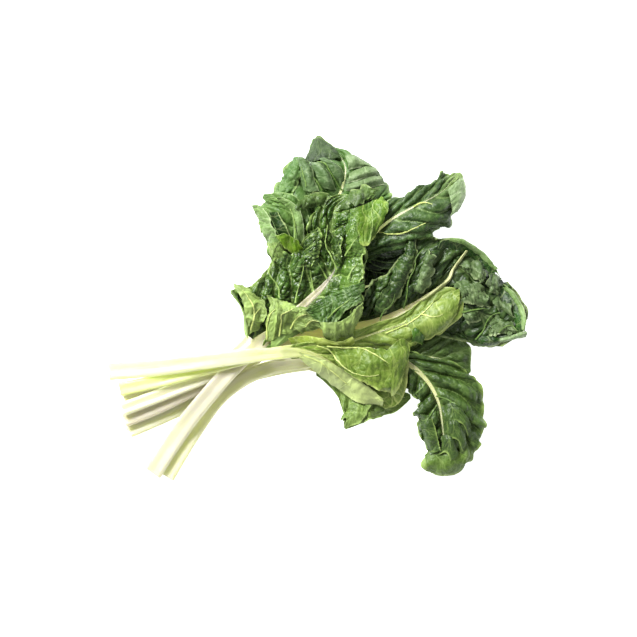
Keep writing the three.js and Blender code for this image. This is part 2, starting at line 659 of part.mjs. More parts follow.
// The map's height at a point, between cell centres.
function heightAt(map, { x, y }) {
  const [fx, fy] = [(x + MAP_HALF_X) / CELL - 0.5, (y + MAP_HALF_Y) / CELL - 0.5];
  const [cx, cy] = [Math.floor(fx), Math.floor(fy)];
  const [wx, wy] = [fx - cx, fy - cy];
  const at = (dx, dy) => map[(cy + dy) * MAP_NX + cx + dx];
  return (1 - wy) * ((1 - wx) * at(0, 0) + wx * at(1, 0)) + wy * ((1 - wx) * at(0, 1) + wx * at(1, 1));
}

// ---- The bunch ------------------------------------------------------------------------------------------

function meshOf(name, finish, { vertices, triangles }) {
  const geometry = new THREE.BufferGeometry();
  const values = vertices.flatMap((v) => v.toArray());
  geometry.setAttribute("position", new THREE.Float32BufferAttribute(values, 3));
  geometry.setIndex(triangles.flat());
  geometry.computeVertexNormals();
  const mesh = new THREE.Mesh(geometry, new THREE.MeshStandardMaterial(finish));
  mesh.name = name;
  return mesh;
}

const bunch = new THREE.Group();
let ground = mapOf(0);
for (const leaf of LEAVES) {
  const sheet = bladeSheet(leaf);
  const stalk = stalkSolid(leaf);
  for (let pass = 0; pass < SETTLE_PASSES; pass++) {
    const sheets = [{ solid: sheet, skin: SKIN }, { solid: stalk, skin: 0 }];
    const lift = liftMap(sheets, widen(ground), pass ? 1 : SAG_REACH);
    for (const vertex of sheet.vertices) vertex.z += heightAt(lift, vertex);
    for (let k = 0; k < stalk.vertices.length; k += STALK_SECTION.length) {
      const ring = stalk.vertices.slice(k, k + STALK_SECTION.length);
      const centre = ring.reduce((sum, vertex) => sum.add(vertex), new THREE.Vector3());
      const rise = heightAt(lift, centre.divideScalar(ring.length));
      for (const vertex of ring) vertex.z += rise;
    }
  }
  scan(sheet, (cell, z) => (ground[cell] = Math.max(ground[cell], z + SKIN + BLADE_GAP)));
  scan(stalk, (cell, z) => (ground[cell] = Math.max(ground[cell], z + STALK_GAP)));
  bunch.add(meshOf(`${leaf.name}_stalk`, PALE, stalk));
  bunch.add(meshOf(`${leaf.name}_blade`, leaf.finish, thicken(sheet, BLADE_THICKNESS)));
}

// The part's origin is the middle of its footprint, on the surface.
const box = new THREE.Box3().setFromObject(bunch);
bunch.position.set(-(box.min.x + box.max.x) / 2, -(box.min.y + box.max.y) / 2, -box.min.z);

export default bunch;
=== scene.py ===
"""A bunch of green chard lying on a pale surface, seen from straight above.

The part's eleven leaves are made again here on finer grids. Each follows the rows, folds and stalk
path of its solids, is lifted to where its solids lie, and then gets what they leave out: side veins
that fork, blisters between the veins, a frilled margin, a ribbed stalk and a colour for each side
of the blade. Lobes, curls, puffs and raised veins are laid on the blades as pieces of their own,
by their places in the photograph, and what stands too high is pressed down. Leaf dimensions are in
millimetres, as in the part's source, and become metres where a mesh is made.
"""

import functools
import math

import bpy
import numpy as np
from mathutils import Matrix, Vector


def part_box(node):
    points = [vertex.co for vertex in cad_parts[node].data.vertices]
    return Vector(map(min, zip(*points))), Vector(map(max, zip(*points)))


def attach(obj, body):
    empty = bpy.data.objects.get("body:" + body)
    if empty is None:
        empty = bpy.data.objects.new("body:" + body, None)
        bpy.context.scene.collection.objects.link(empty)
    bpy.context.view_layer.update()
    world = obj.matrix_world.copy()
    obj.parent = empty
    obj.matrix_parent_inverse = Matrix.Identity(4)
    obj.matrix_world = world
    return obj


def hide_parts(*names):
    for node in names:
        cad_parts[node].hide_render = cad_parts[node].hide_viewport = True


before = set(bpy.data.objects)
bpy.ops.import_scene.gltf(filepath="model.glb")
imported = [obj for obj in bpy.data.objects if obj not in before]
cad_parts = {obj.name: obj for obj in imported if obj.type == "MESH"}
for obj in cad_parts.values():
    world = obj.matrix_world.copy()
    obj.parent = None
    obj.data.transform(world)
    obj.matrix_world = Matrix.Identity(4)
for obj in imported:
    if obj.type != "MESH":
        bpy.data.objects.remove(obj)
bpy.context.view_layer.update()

MM = 0.001
TURN = 2 * math.pi

# ---- The leaves, as in the part's source --------------------------------------------------------

SLIT_GAP = 0.9  # clear width between a stalk's solid and the blade's
BLADE_SEAT = 0.62  # height of the blade's root on the stalk, as a share of its thickness
SIDE_VEINS = 10  # on each half of a solid blade
ROWS = 2 * SIDE_VEINS  # rows of its grid
STALK_ROWS = 16  # a stalk's solid ends at this row
ACROSS = np.array([0, 0.12, 0.3, 0.5, 0.68, 0.85, 1])  # its columns, as shares of a row
ROW_STEPS = 120  # steps in which a row is walked from midrib to margin
VEIN_BEND = 14  # degrees that a row turns towards the tip on its way out
LAST_FOLD = 0.92  # share of a row beyond which none is folded
MIN_PLAN = 0.5  # a row folded over is as long as one that is seen this much shortened
MIN_LENGTH = 2  # of a row beyond its offset, as seen from above
STALK_THICKNESS = 6  # at the cut end
STALK_BASE_SHARE = 0.65  # width and thickness left where the blade begins
STALK_TIP = 1.2  # least width and thickness of the midrib
MIDRIB_TAPER = 1.4  # over 1, the midrib narrows sooner
STEPS_PER_SPAN = 3  # rings of a bare stalk's solid between two points of its path
BLADE_GAP = 2  # clear height over a blade, under the leaf that lies on it
STALK_GAP = 1.4  # clear height over a stalk
SKIN = 0.6  # vertical allowance for half the solid blade's thickness
DRAPE_SLOPE = 0.45  # steepest rise of a leaf towards what lifts it
SAG_REACH = 5  # cells over which a lifted leaf is smoothed
SETTLE_PASSES = 4  # the first bends a leaf widely, the others mend what it left
CELL = 2  # of the height map that the leaves settle on
MAP_HALF_X = 246
MAP_HALF_Y = 204


def numbers(text):
    """Points from text that has a comma between one and the next."""
    return np.array([point.split() for point in text.split(",")], float)


def number_rows(text):
    """Rows of points from text with a row on each line."""
    return [numbers(line) for line in text.strip().splitlines()]


def new_half(reach, heading, tilt, roll, roll_from="0 0", roll_to="0 1"):
    """One half of a blade. Each text has pairs of a share of the midrib and a value there: how far
    the half reaches, how many degrees its rows point forward and rise at the midrib, and how many
    degrees they roll up between two shares of their length."""
    return {
        "reach": numbers(reach),
        "heading": numbers(heading),
        "tilt": numbers(tilt),
        "roll": numbers(roll),
        "roll_from": numbers(roll_from),
        "roll_to": numbers(roll_to),
    }


def new_leaf(name, slot, width, petiole, midrib, left, right, ruffle, quilt):
    """A leaf. petiole and midrib have the points of the bare stalk and of the midrib: x to the
    right and y up in the photograph, from the leaves' origin, and height. width is the stalk's
    where it is cut, ruffle the height, number and phase of the margin's waves, and quilt how far
    the blade swells between its side veins."""
    petiole, midrib = numbers(petiole), numbers(midrib)
    return {
        "name": name,
        "slot": slot,
        "width": width,
        "path": np.concatenate([petiole, midrib]),
        "base": len(petiole),
        "spans": len(midrib) - 1,
        "left": left,
        "right": right,
        "ruffle": ruffle,
        "quilt": quilt,
    }


# From the lowest to the one on top.
LEAVES = [
    new_leaf(
        "leaf_middle_right", "mid_leaf", width=14, quilt=2, ruffle=(3, 4, 0.2),
        petiole="-192 -118 0, -138 -95 0, -92 -76 0, -35 -62 0, 15 -56 0",
        midrib="55 -53 2, 75 -51 7, 93 -49 11, 110 -49 12, 126 -52 9, 140 -58 5, 151 -65 2",
        left=new_half(
            reach="0 12, 0.17 34, 0.33 41, 0.5 43, 0.67 33, 0.83 17, 1 4",
            heading="0 30, 0.33 46, 0.67 40, 1 70",
            tilt="0 15, 1 0",
            roll="0 -20, 0.5 -40, 1 -10",
        ),
        right=new_half(
            reach="0 8, 0.5 20, 1 4",
            heading="0 20, 1 70",
            tilt="0 5, 1 0",
            roll="0 -20, 1 -10",
        ),
    ),
    new_leaf(
        "leaf_lower", "young_leaf", width=14, quilt=2, ruffle=(3, 4, 0.5),
        petiole="-187 -124 0, -138 -103 0, -97 -80 0, -60 -63 0, -27 -56 0",
        midrib="2 -62 3, 22 -77 9, 38 -86 12, 55 -92 12, 72 -93 8, 91 -90 3",
        left=new_half(
            reach="0 5, 0.3 20, 0.6 24, 1 5",
            heading="0 20, 1 70",
            tilt="0 5, 1 0",
            roll="0 -20, 1 -10",
        ),
        right=new_half(
            reach="0 7, 0.15 9, 0.25 22, 0.3 31, 0.35 39, 0.4 34, 0.5 25, 0.65 19, 0.8 14, 1 5",
            heading="0 30, 0.15 45, 0.25 38, 0.35 20, 0.4 22, 0.5 20, 0.65 10, 1 70",
            tilt="0 -10, 1 -10",
            roll="0 0, 0.3 30, 0.5 45, 0.7 -10, 1 -10",
        ),
    ),
    new_leaf(
        "leaf_top", "mid_leaf", width=14, quilt=4, ruffle=(3.5, 5, 0.1),
        petiole="-192 -94 0, -142 -78 0, -92 -58 0, -60 -30 0, -36 12 3",
        midrib="-12 52 8, 5 77 14, 18 100 18, 27 121 20, 30 138 18, 25 151 12, 13 160 6, 3 169 2",
        left=new_half(
            reach="0 33, 0.14 54, 0.29 61, 0.43 60, 0.5 57, 0.57 50, 0.65 40, 0.71 33, 0.86 19, 1 4",
            heading="0 -5, 0.29 -4, 0.43 0, 0.5 7, 0.57 13, 0.65 20, 0.71 36, 0.86 56, 1 72",
            tilt="0 12, 0.6 12, 1 0",
            roll="0 -30, 0.5 -45, 1 -20",
        ),
        right=new_half(
            reach="0 25, 0.14 44, 0.29 53, 0.43 45, 0.57 30, 0.71 12, 0.8 5, 0.9 4, 1 3",
            heading="0 30, 0.29 30, 0.43 18, 0.57 -2, 0.71 -20, 0.86 10, 1 65",
            tilt="0 10, 1 0",
            roll="0 -30, 0.5 -45, 1 -20",
        ),
    ),
    new_leaf(
        "leaf_upper_left", "mid_leaf", width=13, quilt=3, ruffle=(3, 4, 0.7),
        petiole="-194 -86 0, -145 -72 0, -97 -54 0, -70 -34 0, -49 0 0",
        midrib="-30 32 5, -22 51 10, -19 69 13, -19 86 14, -24 100 12, -35 108 9, -49 111 6",
        left=new_half(
            reach="0 14, 0.17 28, 0.33 33, 0.5 38, 0.67 37, 0.83 16, 1 4",
            heading="0 0, 0.5 5, 0.67 38, 0.83 60, 1 75",
            tilt="0 30, 0.5 35, 1 5",
            roll="0 -40, 0.5 -60, 1 -10",
        ),
        right=new_half(
            reach="0 6, 0.17 11, 0.5 13, 0.67 11, 0.83 7, 1 4",
            heading="0 20, 0.5 10, 1 60",
            tilt="0 -10, 1 0",
            roll="0 -25, 1 -10",
        ),
    ),
    new_leaf(
        "leaf_inner", "dark_leaf", width=14, quilt=3, ruffle=(3, 4, 0.4),
        petiole="-192 -106 0, -140 -88 0, -88 -67 0, -48 -44 0, -15 -19 0",
        midrib="14 3 4, 31 13 8, 48 20 9, 66 25 9, 84 28 6, 101 29 3",
        left=new_half(
            reach="0 10, 0.4 36, 0.7 40, 0.85 30, 1 5",
            heading="0 10, 0.5 25, 1 70",
            tilt="0 10, 1 0",
            roll="0 -20, 1 -10",
        ),
        right=new_half(
            reach="0 10, 0.4 30, 0.7 28, 1 5",
            heading="0 10, 0.5 25, 1 70",
            tilt="0 10, 1 0",
            roll="0 -20, 1 -10",
        ),
    ),
    new_leaf(
        "leaf_lower_right", "dark_leaf", width=17, quilt=4.5, ruffle=(2.5, 5, 0.3),
        petiole="-150 -170 0, -123 -126 0, -93 -87 0, -53 -63 0, -5 -54 0, 35 -49 2",
        midrib=(
            "67 -46 5, 87 -53 10, 104 -65 13, 117 -81 14, 124 -98 14, 127 -116 12, 129 -134 9, 130 -150 5, "
            "131 -164 2"
        ),
        left=new_half(
            reach="0 12, 0.125 24, 0.25 46, 0.375 48, 0.5 45, 0.625 42, 0.75 35, 0.875 21, 1 4",
            heading="0 52, 0.125 54, 0.25 45, 0.375 28, 0.5 18, 0.75 15, 0.9 35, 1 75",
            tilt="0 12, 0.6 14, 1 0",
            roll="0 -20, 0.5 -45, 1 -10",
        ),
        right=new_half(
            reach=(
                "0 11, 0.125 24, 0.25 22, 0.375 18, 0.5 23, 0.625 25, 0.75 20, 0.82 17, 0.88 24, 0.94 15, "
                "1 4"
            ),
            heading="0 25, 0.375 15, 0.5 0, 0.8 0, 0.94 30, 1 75",
            tilt="0 12, 0.6 14, 1 0",
            roll="0 -20, 0.5 -55, 1 -10",
        ),
    ),
    new_leaf(
        "leaf_right", "dark_leaf", width=17, quilt=4, ruffle=(4, 5, 0.6),
        petiole="-192 -112 0, -148 -94 0, -105 -72 0, -62 -45 0, -18 -29 0",
        midrib=(
            "21 -23 5, 43 -20 11, 65 -14 16, 87 -4 20, 106 7 23, 122 21 24, 136 36 23, 149 47 19, "
            "162 50 14, 174 46 9"
        ),
        left=new_half(
            reach=(
                "0 20, 0.05 22, 0.1 27, 0.15 34, 0.22 42, 0.33 41, 0.4 52, 0.48 58, 0.56 47, 0.66 30, "
                "0.72 18, 0.78 11, 0.89 6, 1 3"
            ),
            heading="0 30, 0.1 25, 0.3 6, 0.45 26, 0.56 44, 0.66 54, 0.78 62, 1 76",
            tilt="0 25, 0.5 30, 0.7 20, 1 30",
            roll="0 125, 0.05 115, 0.12 50, 0.2 0, 0.5 -60, 0.7 30, 1 30",
            roll_from="0 0.16, 0.05 0.22, 0.1 0.35, 0.15 0.5, 0.22 0",
            roll_to="0 0.45, 0.05 0.52, 0.1 0.75, 0.15 1",
        ),
        right=new_half(
            reach=(
                "0 9, 0.2 20, 0.4 38, 0.5 62, 0.55 78, 0.65 96, 0.7 88, 0.75 77, 0.8 63, 0.85 50, 0.9 36, "
                "0.95 22, 1 6"
            ),
            heading="0 20, 0.4 5, 0.55 -6, 0.65 4, 0.7 10, 0.75 18, 0.8 33, 0.85 43, 0.9 51, 1 65",
            tilt="0 -10, 0.5 -5, 1 5",
            roll="0 -10, 0.55 -20, 0.66 55, 0.8 50, 0.95 10",
            roll_from="0 0, 0.5 0, 0.6 0.72",
        ),
    ),
    new_leaf(
        "leaf_upper_right", "dark_leaf", width=14, quilt=3, ruffle=(3.5, 5, 0.8),
        petiole="-193 -102 0, -143 -83 0, -88 -60 0, -42 -27 0, 1 16 4",
        midrib="35 51 10, 53 69 18, 72 85 24, 90 96 27, 108 105 27, 124 114 24, 135 124 18, 144 133 10",
        left=new_half(
            reach="0 10, 0.14 15, 0.29 19, 0.43 17, 0.57 18, 0.71 20, 0.86 11, 1 3",
            heading="0 30, 0.5 35, 1 72",
            tilt="0 5, 1 0",
            roll="0 -40, 0.5 -70, 1 -20",
        ),
        right=new_half(
            reach="0 16, 0.14 24, 0.29 31, 0.43 32, 0.57 31, 0.71 26, 0.86 15, 0.93 9, 1 3",
            heading="0 10, 0.6 10, 0.86 25, 1 72",
            tilt="0 -10, 0.5 0, 1 0",
            roll="0 -50, 0.5 -75, 1 -20",
        ),
    ),
    new_leaf(
        "leaf_left", "dark_leaf", width=20, quilt=3.5, ruffle=(3.2, 4, 0.15),
        petiole="-164 -166 0, -136 -124 0, -108 -89 0, -83 -61 0",
        midrib=(
            "-57 -37 6, -40 -24 10, -23 -8 14, -6 8 18, 10 24 21, 20 41 21, 18 61 18, 16 80 15, 19 96 11, "
            "30 108 7"
        ),
        left=new_half(
            reach=(
                "0 18, 0.05 34, 0.1 58, 0.15 56, 0.22 51, 0.33 52, 0.44 58, 0.55 47, 0.61 40, 0.66 33, "
                "0.77 22, 0.88 16, 1 5"
            ),
            heading=(
                "0 -3, 0.05 -1, 0.1 0, 0.22 -8, 0.33 -13, 0.44 -14, 0.5 -8, 0.55 1, 0.6 18, 0.66 20, "
                "0.77 20, 1 70"
            ),
            tilt="0 20, 0.5 15, 1 5",
            roll="0 125, 0.05 110, 0.1 50, 0.15 5, 0.2 0, 0.5 -40, 1 -20",
            roll_from="0 0.4, 0.05 0.5, 0.1 0.65, 0.16 0.7, 0.22 0",
            roll_to="0 0.8, 0.05 0.9, 0.1 1",
        ),
        right=new_half(
            reach=(
                "0 35, 0.11 30, 0.22 30, 0.29 36, 0.35 43, 0.44 41, 0.55 28, 0.66 28, 0.77 30, 0.84 50, "
                "0.9 52, 0.95 38, 1 8"
            ),
            heading=(
                "0 45, 0.11 46, 0.22 30, 0.33 20, 0.44 15, 0.66 8, 0.77 2, 0.84 8, 0.9 33, 0.95 50, 1 72"
            ),
            tilt="0 18, 0.5 20, 1 10",
            roll="0 150, 0.18 140, 0.35 10, 0.45 45, 0.77 45, 0.88 -20, 1 -20",
            roll_from="0 0.07, 0.11 0.2, 0.2 0.45, 0.3 0.7, 0.4 0.5",
            roll_to="0 0.28, 0.11 0.45, 0.2 0.75, 0.3 1, 0.4 1",
        ),
    ),
    # Its midrib ends 5 mm short of its solid's.
    new_leaf(
        "leaf_young_back", "young_leaf", width=14, quilt=1.5, ruffle=(1.6, 4, 0.3),
        petiole="-196 -82 0, -150 -72 0, -100 -59 0, -53 -47 0, -15 -40 2",
        midrib="11 -37 6, 33 -34 10, 55 -27 14, 77 -20 17, 96 -13 19, 112 -3 19, 126 7 16, 139 14 12",
        left=new_half(
            reach="0 8, 0.2 10, 0.4 10, 0.6 13, 0.8 15, 0.92 10, 1 5",
            heading="0 20, 0.8 30, 1 72",
            tilt="0 30, 1 10",
            roll="0 -10, 0.5 15, 1 -10",
        ),
        right=new_half(
            reach="0 3, 0.2 12, 0.35 20, 0.5 25, 0.58 14, 0.68 26, 0.8 27, 0.92 16, 1 5",
            heading="0 20, 0.5 5, 0.68 5, 0.85 30, 1 72",
            tilt="0 -10, 0.6 0, 1 0",
            roll="0 -30, 0.5 -60, 1 -30",
        ),
    ),
    new_leaf(
        "leaf_young_front", "young_leaf", width=20, quilt=2, ruffle=(2.5, 4, 0.9),
        petiole="-207 -63 0, -165 -60 0, -115 -54 0, -65 -48 2",
        midrib="-25 -45 5, -3 -47 9, 16 -56 12, 33 -69 13, 51 -84 11, 69 -98 6",
        left=new_half(
            reach="0 9, 0.2 23, 0.4 46, 0.5 55, 0.6 60, 0.8 45, 1 6",
            heading="0 40, 0.2 50, 0.4 40, 0.6 30, 0.8 27, 1 72",
            tilt="0 20, 0.5 30, 1 5",
            roll="0 -10, 0.5 -55, 1 -20",
        ),
        right=new_half(
            reach="0 4, 0.2 9, 0.5 13, 0.8 10, 1 4",
            heading="0 30, 1 70",
            tilt="0 -15, 1 -5",
            roll="0 -20, 1 -10",
        ),
    ),
]
for number, each in enumerate(LEAVES):
    each["number"] = number

# ---- Curves -------------------------------------------------------------------------------------


def smooth(x):
    x = np.clip(x, 0, 1)
    return x * x * (3 - 2 * x)


def keyed(pairs, t):
    """The value at each t of a smooth curve through pairs, level beyond its ends."""
    at, value = pairs.T
    t = np.asarray(t, float)
    if len(at) == 1:
        return np.full(t.shape, value[0])
    span = np.diff(at)
    secant = np.diff(value) / span
    slope = np.concatenate([secant[:1], np.zeros(len(at) - 2), secant[-1:]])
    before, after = secant[:-1], secant[1:]
    same_way = before * after > 0
    total = np.where(same_way, before + after, 1)
    slope[1:-1] = np.where(same_way, 2 * before * after / total, 0)
    i = np.clip(np.searchsorted(at, t, side="right") - 1, 0, len(at) - 2)
    f = np.clip((t - at[i]) / span[i], 0, 1)
    return (
        value[i] * (2 * f**3 - 3 * f**2 + 1)
        + value[i + 1] * (3 * f**2 - 2 * f**3)
        + slope[i] * span[i] * (f**3 - 2 * f**2 + f)
        + slope[i + 1] * span[i] * (f**3 - f**2)
    )


def through(p0, p1, p2, p3, f):
    """The point at share f of the way from p1 to p2, on a smooth curve through all four."""
    return (
        p0 * (-f + 2 * f**2 - f**3)
        + p1 * (2 - 5 * f**2 + 3 * f**3)
        + p2 * (f + 4 * f**2 - 3 * f**3)
        + p3 * (-(f**2) + f**3)
    ) / 2


def unit(vectors):
    return vectors / np.linalg.norm(vectors, axis=-1, keepdims=True)


def path_frame(leaf, u):
    """Places and directions at each u, counted in points, on the curve through a leaf's path."""
    points = leaf["path"]
    last = len(points) - 1
    i = np.minimum(np.floor(u).astype(int), last - 1)
    f = (u - i)[:, None]
    p0, p1, p2, p3 = [points[np.clip(i + k, 0, last)] for k in (-1, 0, 1, 2)]
    forward = unit(
        p0 * (-1 + 4 * f - 3 * f**2)
        + p1 * (-10 * f + 9 * f**2)
        + p2 * (1 + 8 * f - 9 * f**2)
        + p3 * (-2 * f + 3 * f**2)
    )
    side = unit(np.stack([-forward[:, 1], forward[:, 0], np.zeros(len(u))], axis=1))
    return through(p0, p1, p2, p3, f), forward, side, np.cross(forward, side)


def path_length(leaf, u):
    """How far along the path each of the places u is from the first."""
    steps = np.diff(path_frame(leaf, u)[0], axis=0)
    return np.concatenate([[0], np.cumsum(np.linalg.norm(steps, axis=1))])


def stalk_size(leaf, u):
    """Width and thickness of a leaf's stalk at each u on its path."""
    base = leaf["base"]
    share = 1 - (1 - STALK_BASE_SHARE) * (u / base)
    left = np.clip(1 - (u - base) / leaf["spans"], 0, 1) ** MIDRIB_TAPER
    width = STALK_BASE_SHARE * leaf["width"] * left + STALK_TIP * (1 - left)
    thickness = STALK_BASE_SHARE * STALK_THICKNESS * left + STALK_TIP * (1 - left)
    bare = u < base
    width = np.where(bare, leaf["width"] * share, width)
    return width, np.where(bare, STALK_THICKNESS * share, thickness)


# ---- A half blade, row by row -------------------------------------------------------------------

CALM_LENGTH = 24  # rows shorter than this have less relief
CALM_ROLL = 60  # so have rows that roll by more degrees than this,
CALM_SPAN = 60  # and by this many degrees more
CALM_LOSS = 0.8  # this share of their relief is gone
FOLDED_ROLL = 50  # from this many degrees of roll a row's columns gather where it turns,
FOLDED_SPAN = 80  # and by this many more they all have


def column_weights(c):
    """What each of the solids' columns counts for at each c, the share of the way across."""
    return np.stack([np.interp(c, ACROSS, row) for row in np.eye(len(ACROSS))], axis=1)


def relief(leaf, sign, t, s, v):
    """Height of the quilting, waves and creases that the solids have. v counts side veins."""
    other = 0 if sign > 0 else 1
    height, waves, phase = leaf["ruffle"]
    crest = np.sin(math.pi * v) ** 2
    quilt = leaf["quilt"] * crest * smooth(s / 0.3) * (1 - 0.5 * s)
    ruffle = height * s**2 * np.sin(TURN * (waves * t + phase + 0.37 * other))
    crumple = (
        height * smooth(s / 0.4) * 0.5
        * np.sin(TURN * (1.7 * t + 0.8 * s + 2.3 * phase))
        * np.sin(TURN * (1.1 * s + 3.1 * phase + 0.5 * other))
    )
    return (quilt + ruffle + crumple) * smooth((1 - t) / 0.12) * smooth((t + 0.02) / 0.1)


def walk_rows(forward, outward, up, shape):
    """Each row as a walk of length 1 from the midrib: its places and the directions its upper side
    faces, step by step, and how far out it gets as seen from above."""
    start, end = shape["roll_from"], shape["roll_to"]
    steps = (np.arange(ROW_STEPS) + 0.5) / ROW_STEPS
    turned = smooth((steps - start[:, None]) / (end - start)[:, None])
    rise = np.radians(shape["tilt"][:, None] + shape["roll"][:, None] * turned)
    lean = np.radians(shape["heading"][:, None] + VEIN_BEND * (steps - 0.5))
    out = np.cos(lean) / ROW_STEPS
    ahead, aside, above = (way[:, None, :] for way in (forward, outward, up))
    stride = (
        ahead * (np.sin(lean) / ROW_STEPS)[..., None]
        + aside * (out * np.cos(rise))[..., None]
        + above * (out * np.sin(rise))[..., None]
    )
    none = np.zeros((len(start), 1, 3))
    place = np.concatenate([none, np.cumsum(stride, axis=1)], axis=1)
    facing = above * np.cos(rise)[..., None] - aside * np.sin(rise)[..., None]
    facing = np.concatenate([above + none, facing], axis=1)
    plan = np.cumsum(np.cos(rise), axis=1) / ROW_STEPS
    return place, facing, np.maximum(plan.max(axis=1), MIN_PLAN)


def gathered(c, shape):
    """Where the columns c are in each row. In a folded row they gather where it turns."""
    roll = np.abs(shape["roll"])
    folded = np.clip((roll - FOLDED_ROLL) / FOLDED_SPAN, 0, 1)[:, None]
    last = np.minimum(shape["roll_to"], LAST_FOLD)
    first = np.minimum(shape["roll_from"], last - 0.1)
    third, two_thirds = (2 * first + last) / 3, (first + 2 * last) / 3
    turns = [0 * roll, first, third, two_thirds, last, (last + 1) / 2, 0 * roll + 1]
    return c + folded * (np.stack(turns, axis=1) @ column_weights(c).T - c)


def half_blade(leaf, sign, t, c, offset, phase=None):
    """Points of a half blade at rows t and columns c, and what its surface detail is made from.
    The rows start at offset from the midrib. phase gives the side veins' phase at t and s. Without
    it they are the solid's, and so are the walk's steps."""
    half = leaf["left"] if sign > 0 else leaf["right"]
    shape = {key: keyed(pairs, t) for key, pairs in half.items()}
    u = leaf["base"] + t * leaf["spans"]
    at, forward, side, up = path_frame(leaf, u)
    thickness = stalk_size(leaf, u)[1]
    root = at + side * (sign * offset)[:, None] + up * (BLADE_SEAT * thickness)[:, None]
    place, facing, seen = walk_rows(forward, side * sign, up, shape)
    length = np.maximum(shape["reach"] - offset, MIN_LENGTH) / seen
    unrolled = 1 - CALM_LOSS * smooth((np.abs(shape["roll"]) - CALM_ROLL) / CALM_SPAN)
    calm = smooth(length / CALM_LENGTH) * np.cos(np.radians(shape["heading"])) * unrolled

    s = gathered(c, shape)
    step = np.clip(s * ROW_STEPS, 0, ROW_STEPS)
    rows = np.arange(len(t))[:, None]
    if phase is None:
        nearest = np.floor(step + 0.5).astype(int)
        place, facing = place[rows, nearest], facing[rows, nearest]
    else:
        low = np.minimum(step.astype(int), ROW_STEPS - 1)
        f = (step - low)[..., None]
        place = place[rows, low] * (1 - f) + place[rows, low + 1] * f
        facing = facing[rows, low] * (1 - f) + facing[rows, low + 1] * f
    v = phase(t[:, None], s) if phase else SIDE_VEINS * t[:, None]
    lift = calm[:, None] * relief(leaf, sign, t[:, None], s, v)
    points = root[:, None, :] + place * length[:, None, None] + facing * lift[..., None]
    return {"points": points, "s": s, "length": length, "calm": calm, "v": v + 0 * s}


# ---- Where the solids lie: each leaf is lifted clear of the leaves below it ----------------------

MAP_NX = math.ceil(2 * MAP_HALF_X / CELL)
MAP_NY = math.ceil(2 * MAP_HALF_Y / CELL)
SCAN_STEP = 0.6  # of a cell, between the points looked at on a triangle
STALK_SECTION = np.array(
    [[-0.28, 0], [0.28, 0], [0.5, 0.5], [0.36, 0.95], [0, 0.8], [-0.36, 0.95], [-0.5, 0.5]]
)


def coarse_sheet(leaf):
    """Vertices of the blade's solid before it is lifted, as [half, row, column], and triangles."""
    t = np.arange(ROWS + 1) / ROWS
    beside = stalk_size(leaf, leaf["base"] + t * leaf["spans"])[0] / 2 + SLIT_GAP
    offset = np.where(np.arange(ROWS + 1) > STALK_ROWS, 0, beside)
    halves = [half_blade(leaf, sign, t, ACROSS, offset)["points"] for sign in (1, -1)]
    index = np.arange(2 * (ROWS + 1) * len(ACROSS)).reshape(2, ROWS + 1, len(ACROSS))
    triangles = []
    for h in range(2):
        for i in range(ROWS):
            for j in range(len(ACROSS) - 1):
                a, b = index[h, i, j], index[h, i + 1, j]
                c, d = index[h, i, j + 1], index[h, i + 1, j + 1]
                triangles += [[a, b, c], [b, d, c]] if (i + j) % 2 else [[a, b, d], [a, d, c]]
    left, right = index[:, ROWS]
    for j in range(len(ACROSS) - 1):
        triangles += [[left[j], right[j], right[j + 1]], [left[j], right[j + 1], left[j + 1]]]
    return np.stack(halves), np.array(triangles)


def stalk_stations(leaf):
    """Where the rings of the stalk's solid are, counted in points of its path."""
    bare = np.arange(leaf["base"] * STEPS_PER_SPAN) / STEPS_PER_SPAN
    midrib = leaf["base"] + np.arange(STALK_ROWS + 1) / ROWS * leaf["spans"]
    return np.concatenate([bare, midrib])


def ring_points(at, side, up, across, rise):
    """Rings round a stalk's path, each with its points so far across and so far up."""
    return at[:, None] + side[:, None] * across[..., None] + up[:, None] * rise[..., None]


def ring_corners(rings, corners):
    """Numbers of the corners of all rings but the last, and of the next corner round from each."""
    corner = np.arange((rings - 1) * corners).reshape(-1, corners)
    return corner, np.roll(corner, -1, axis=1)


def coarse_stalk(leaf):
    """Vertices of the stalk's solid before it is lifted, as [ring, corner], and triangles."""
    u = stalk_stations(leaf)
    at, _, side, up = path_frame(leaf, u)
    width, thickness = stalk_size(leaf, u)
    across = -STALK_SECTION[:, 0] * width[:, None]
    rise = STALK_SECTION[:, 1] * thickness[:, None]
    corners = len(STALK_SECTION)
    a, b = ring_corners(len(u), corners)
    sides = np.stack([[a, a + corners, b], [b, a + corners, b + corners]], axis=-1)
    end = (len(u) - 1) * corners
    fan = np.array([[0, k, k + 1] for k in range(1, corners - 1)])
    triangles = np.concatenate([sides.transpose(1, 2, 3, 0).reshape(-1, 3), fan, end + fan])
    return ring_points(at, side, up, across, rise), triangles


def map_cell(x, y):
    """The number of the map's cell at each place."""
    cx = np.floor((x + MAP_HALF_X) / CELL).astype(int)
    cy = np.floor((y + MAP_HALF_Y) / CELL).astype(int)
    return cy * MAP_NX + cx


def scan(vertices, triangles):
    """Map cells and heights of points close together all over the triangles."""
    corners = vertices.reshape(-1, 3)[triangles]
    edges = np.linalg.norm(corners - np.roll(corners, -1, axis=1), axis=2)
    steps = np.ceil(edges.max(axis=1) / (SCAN_STEP * CELL)).astype(int)
    cells, heights = [], []
    for count in np.unique(steps):
        some = corners[steps == count]
        q, r = [w.ravel() / count for w in np.meshgrid(np.arange(count + 1), np.arange(count + 1))]
        inside = q + r < 1 + 1e-9
        q, r = q[inside], r[inside]
        weights = np.stack([1 - q - r, q, r])
        x, y, z = np.einsum("wk,nwd->dnk", weights, some).reshape(3, -1)
        cells.append(map_cell(x, y))
        heights.append(z)
    return np.concatenate(cells), np.concatenate(heights)


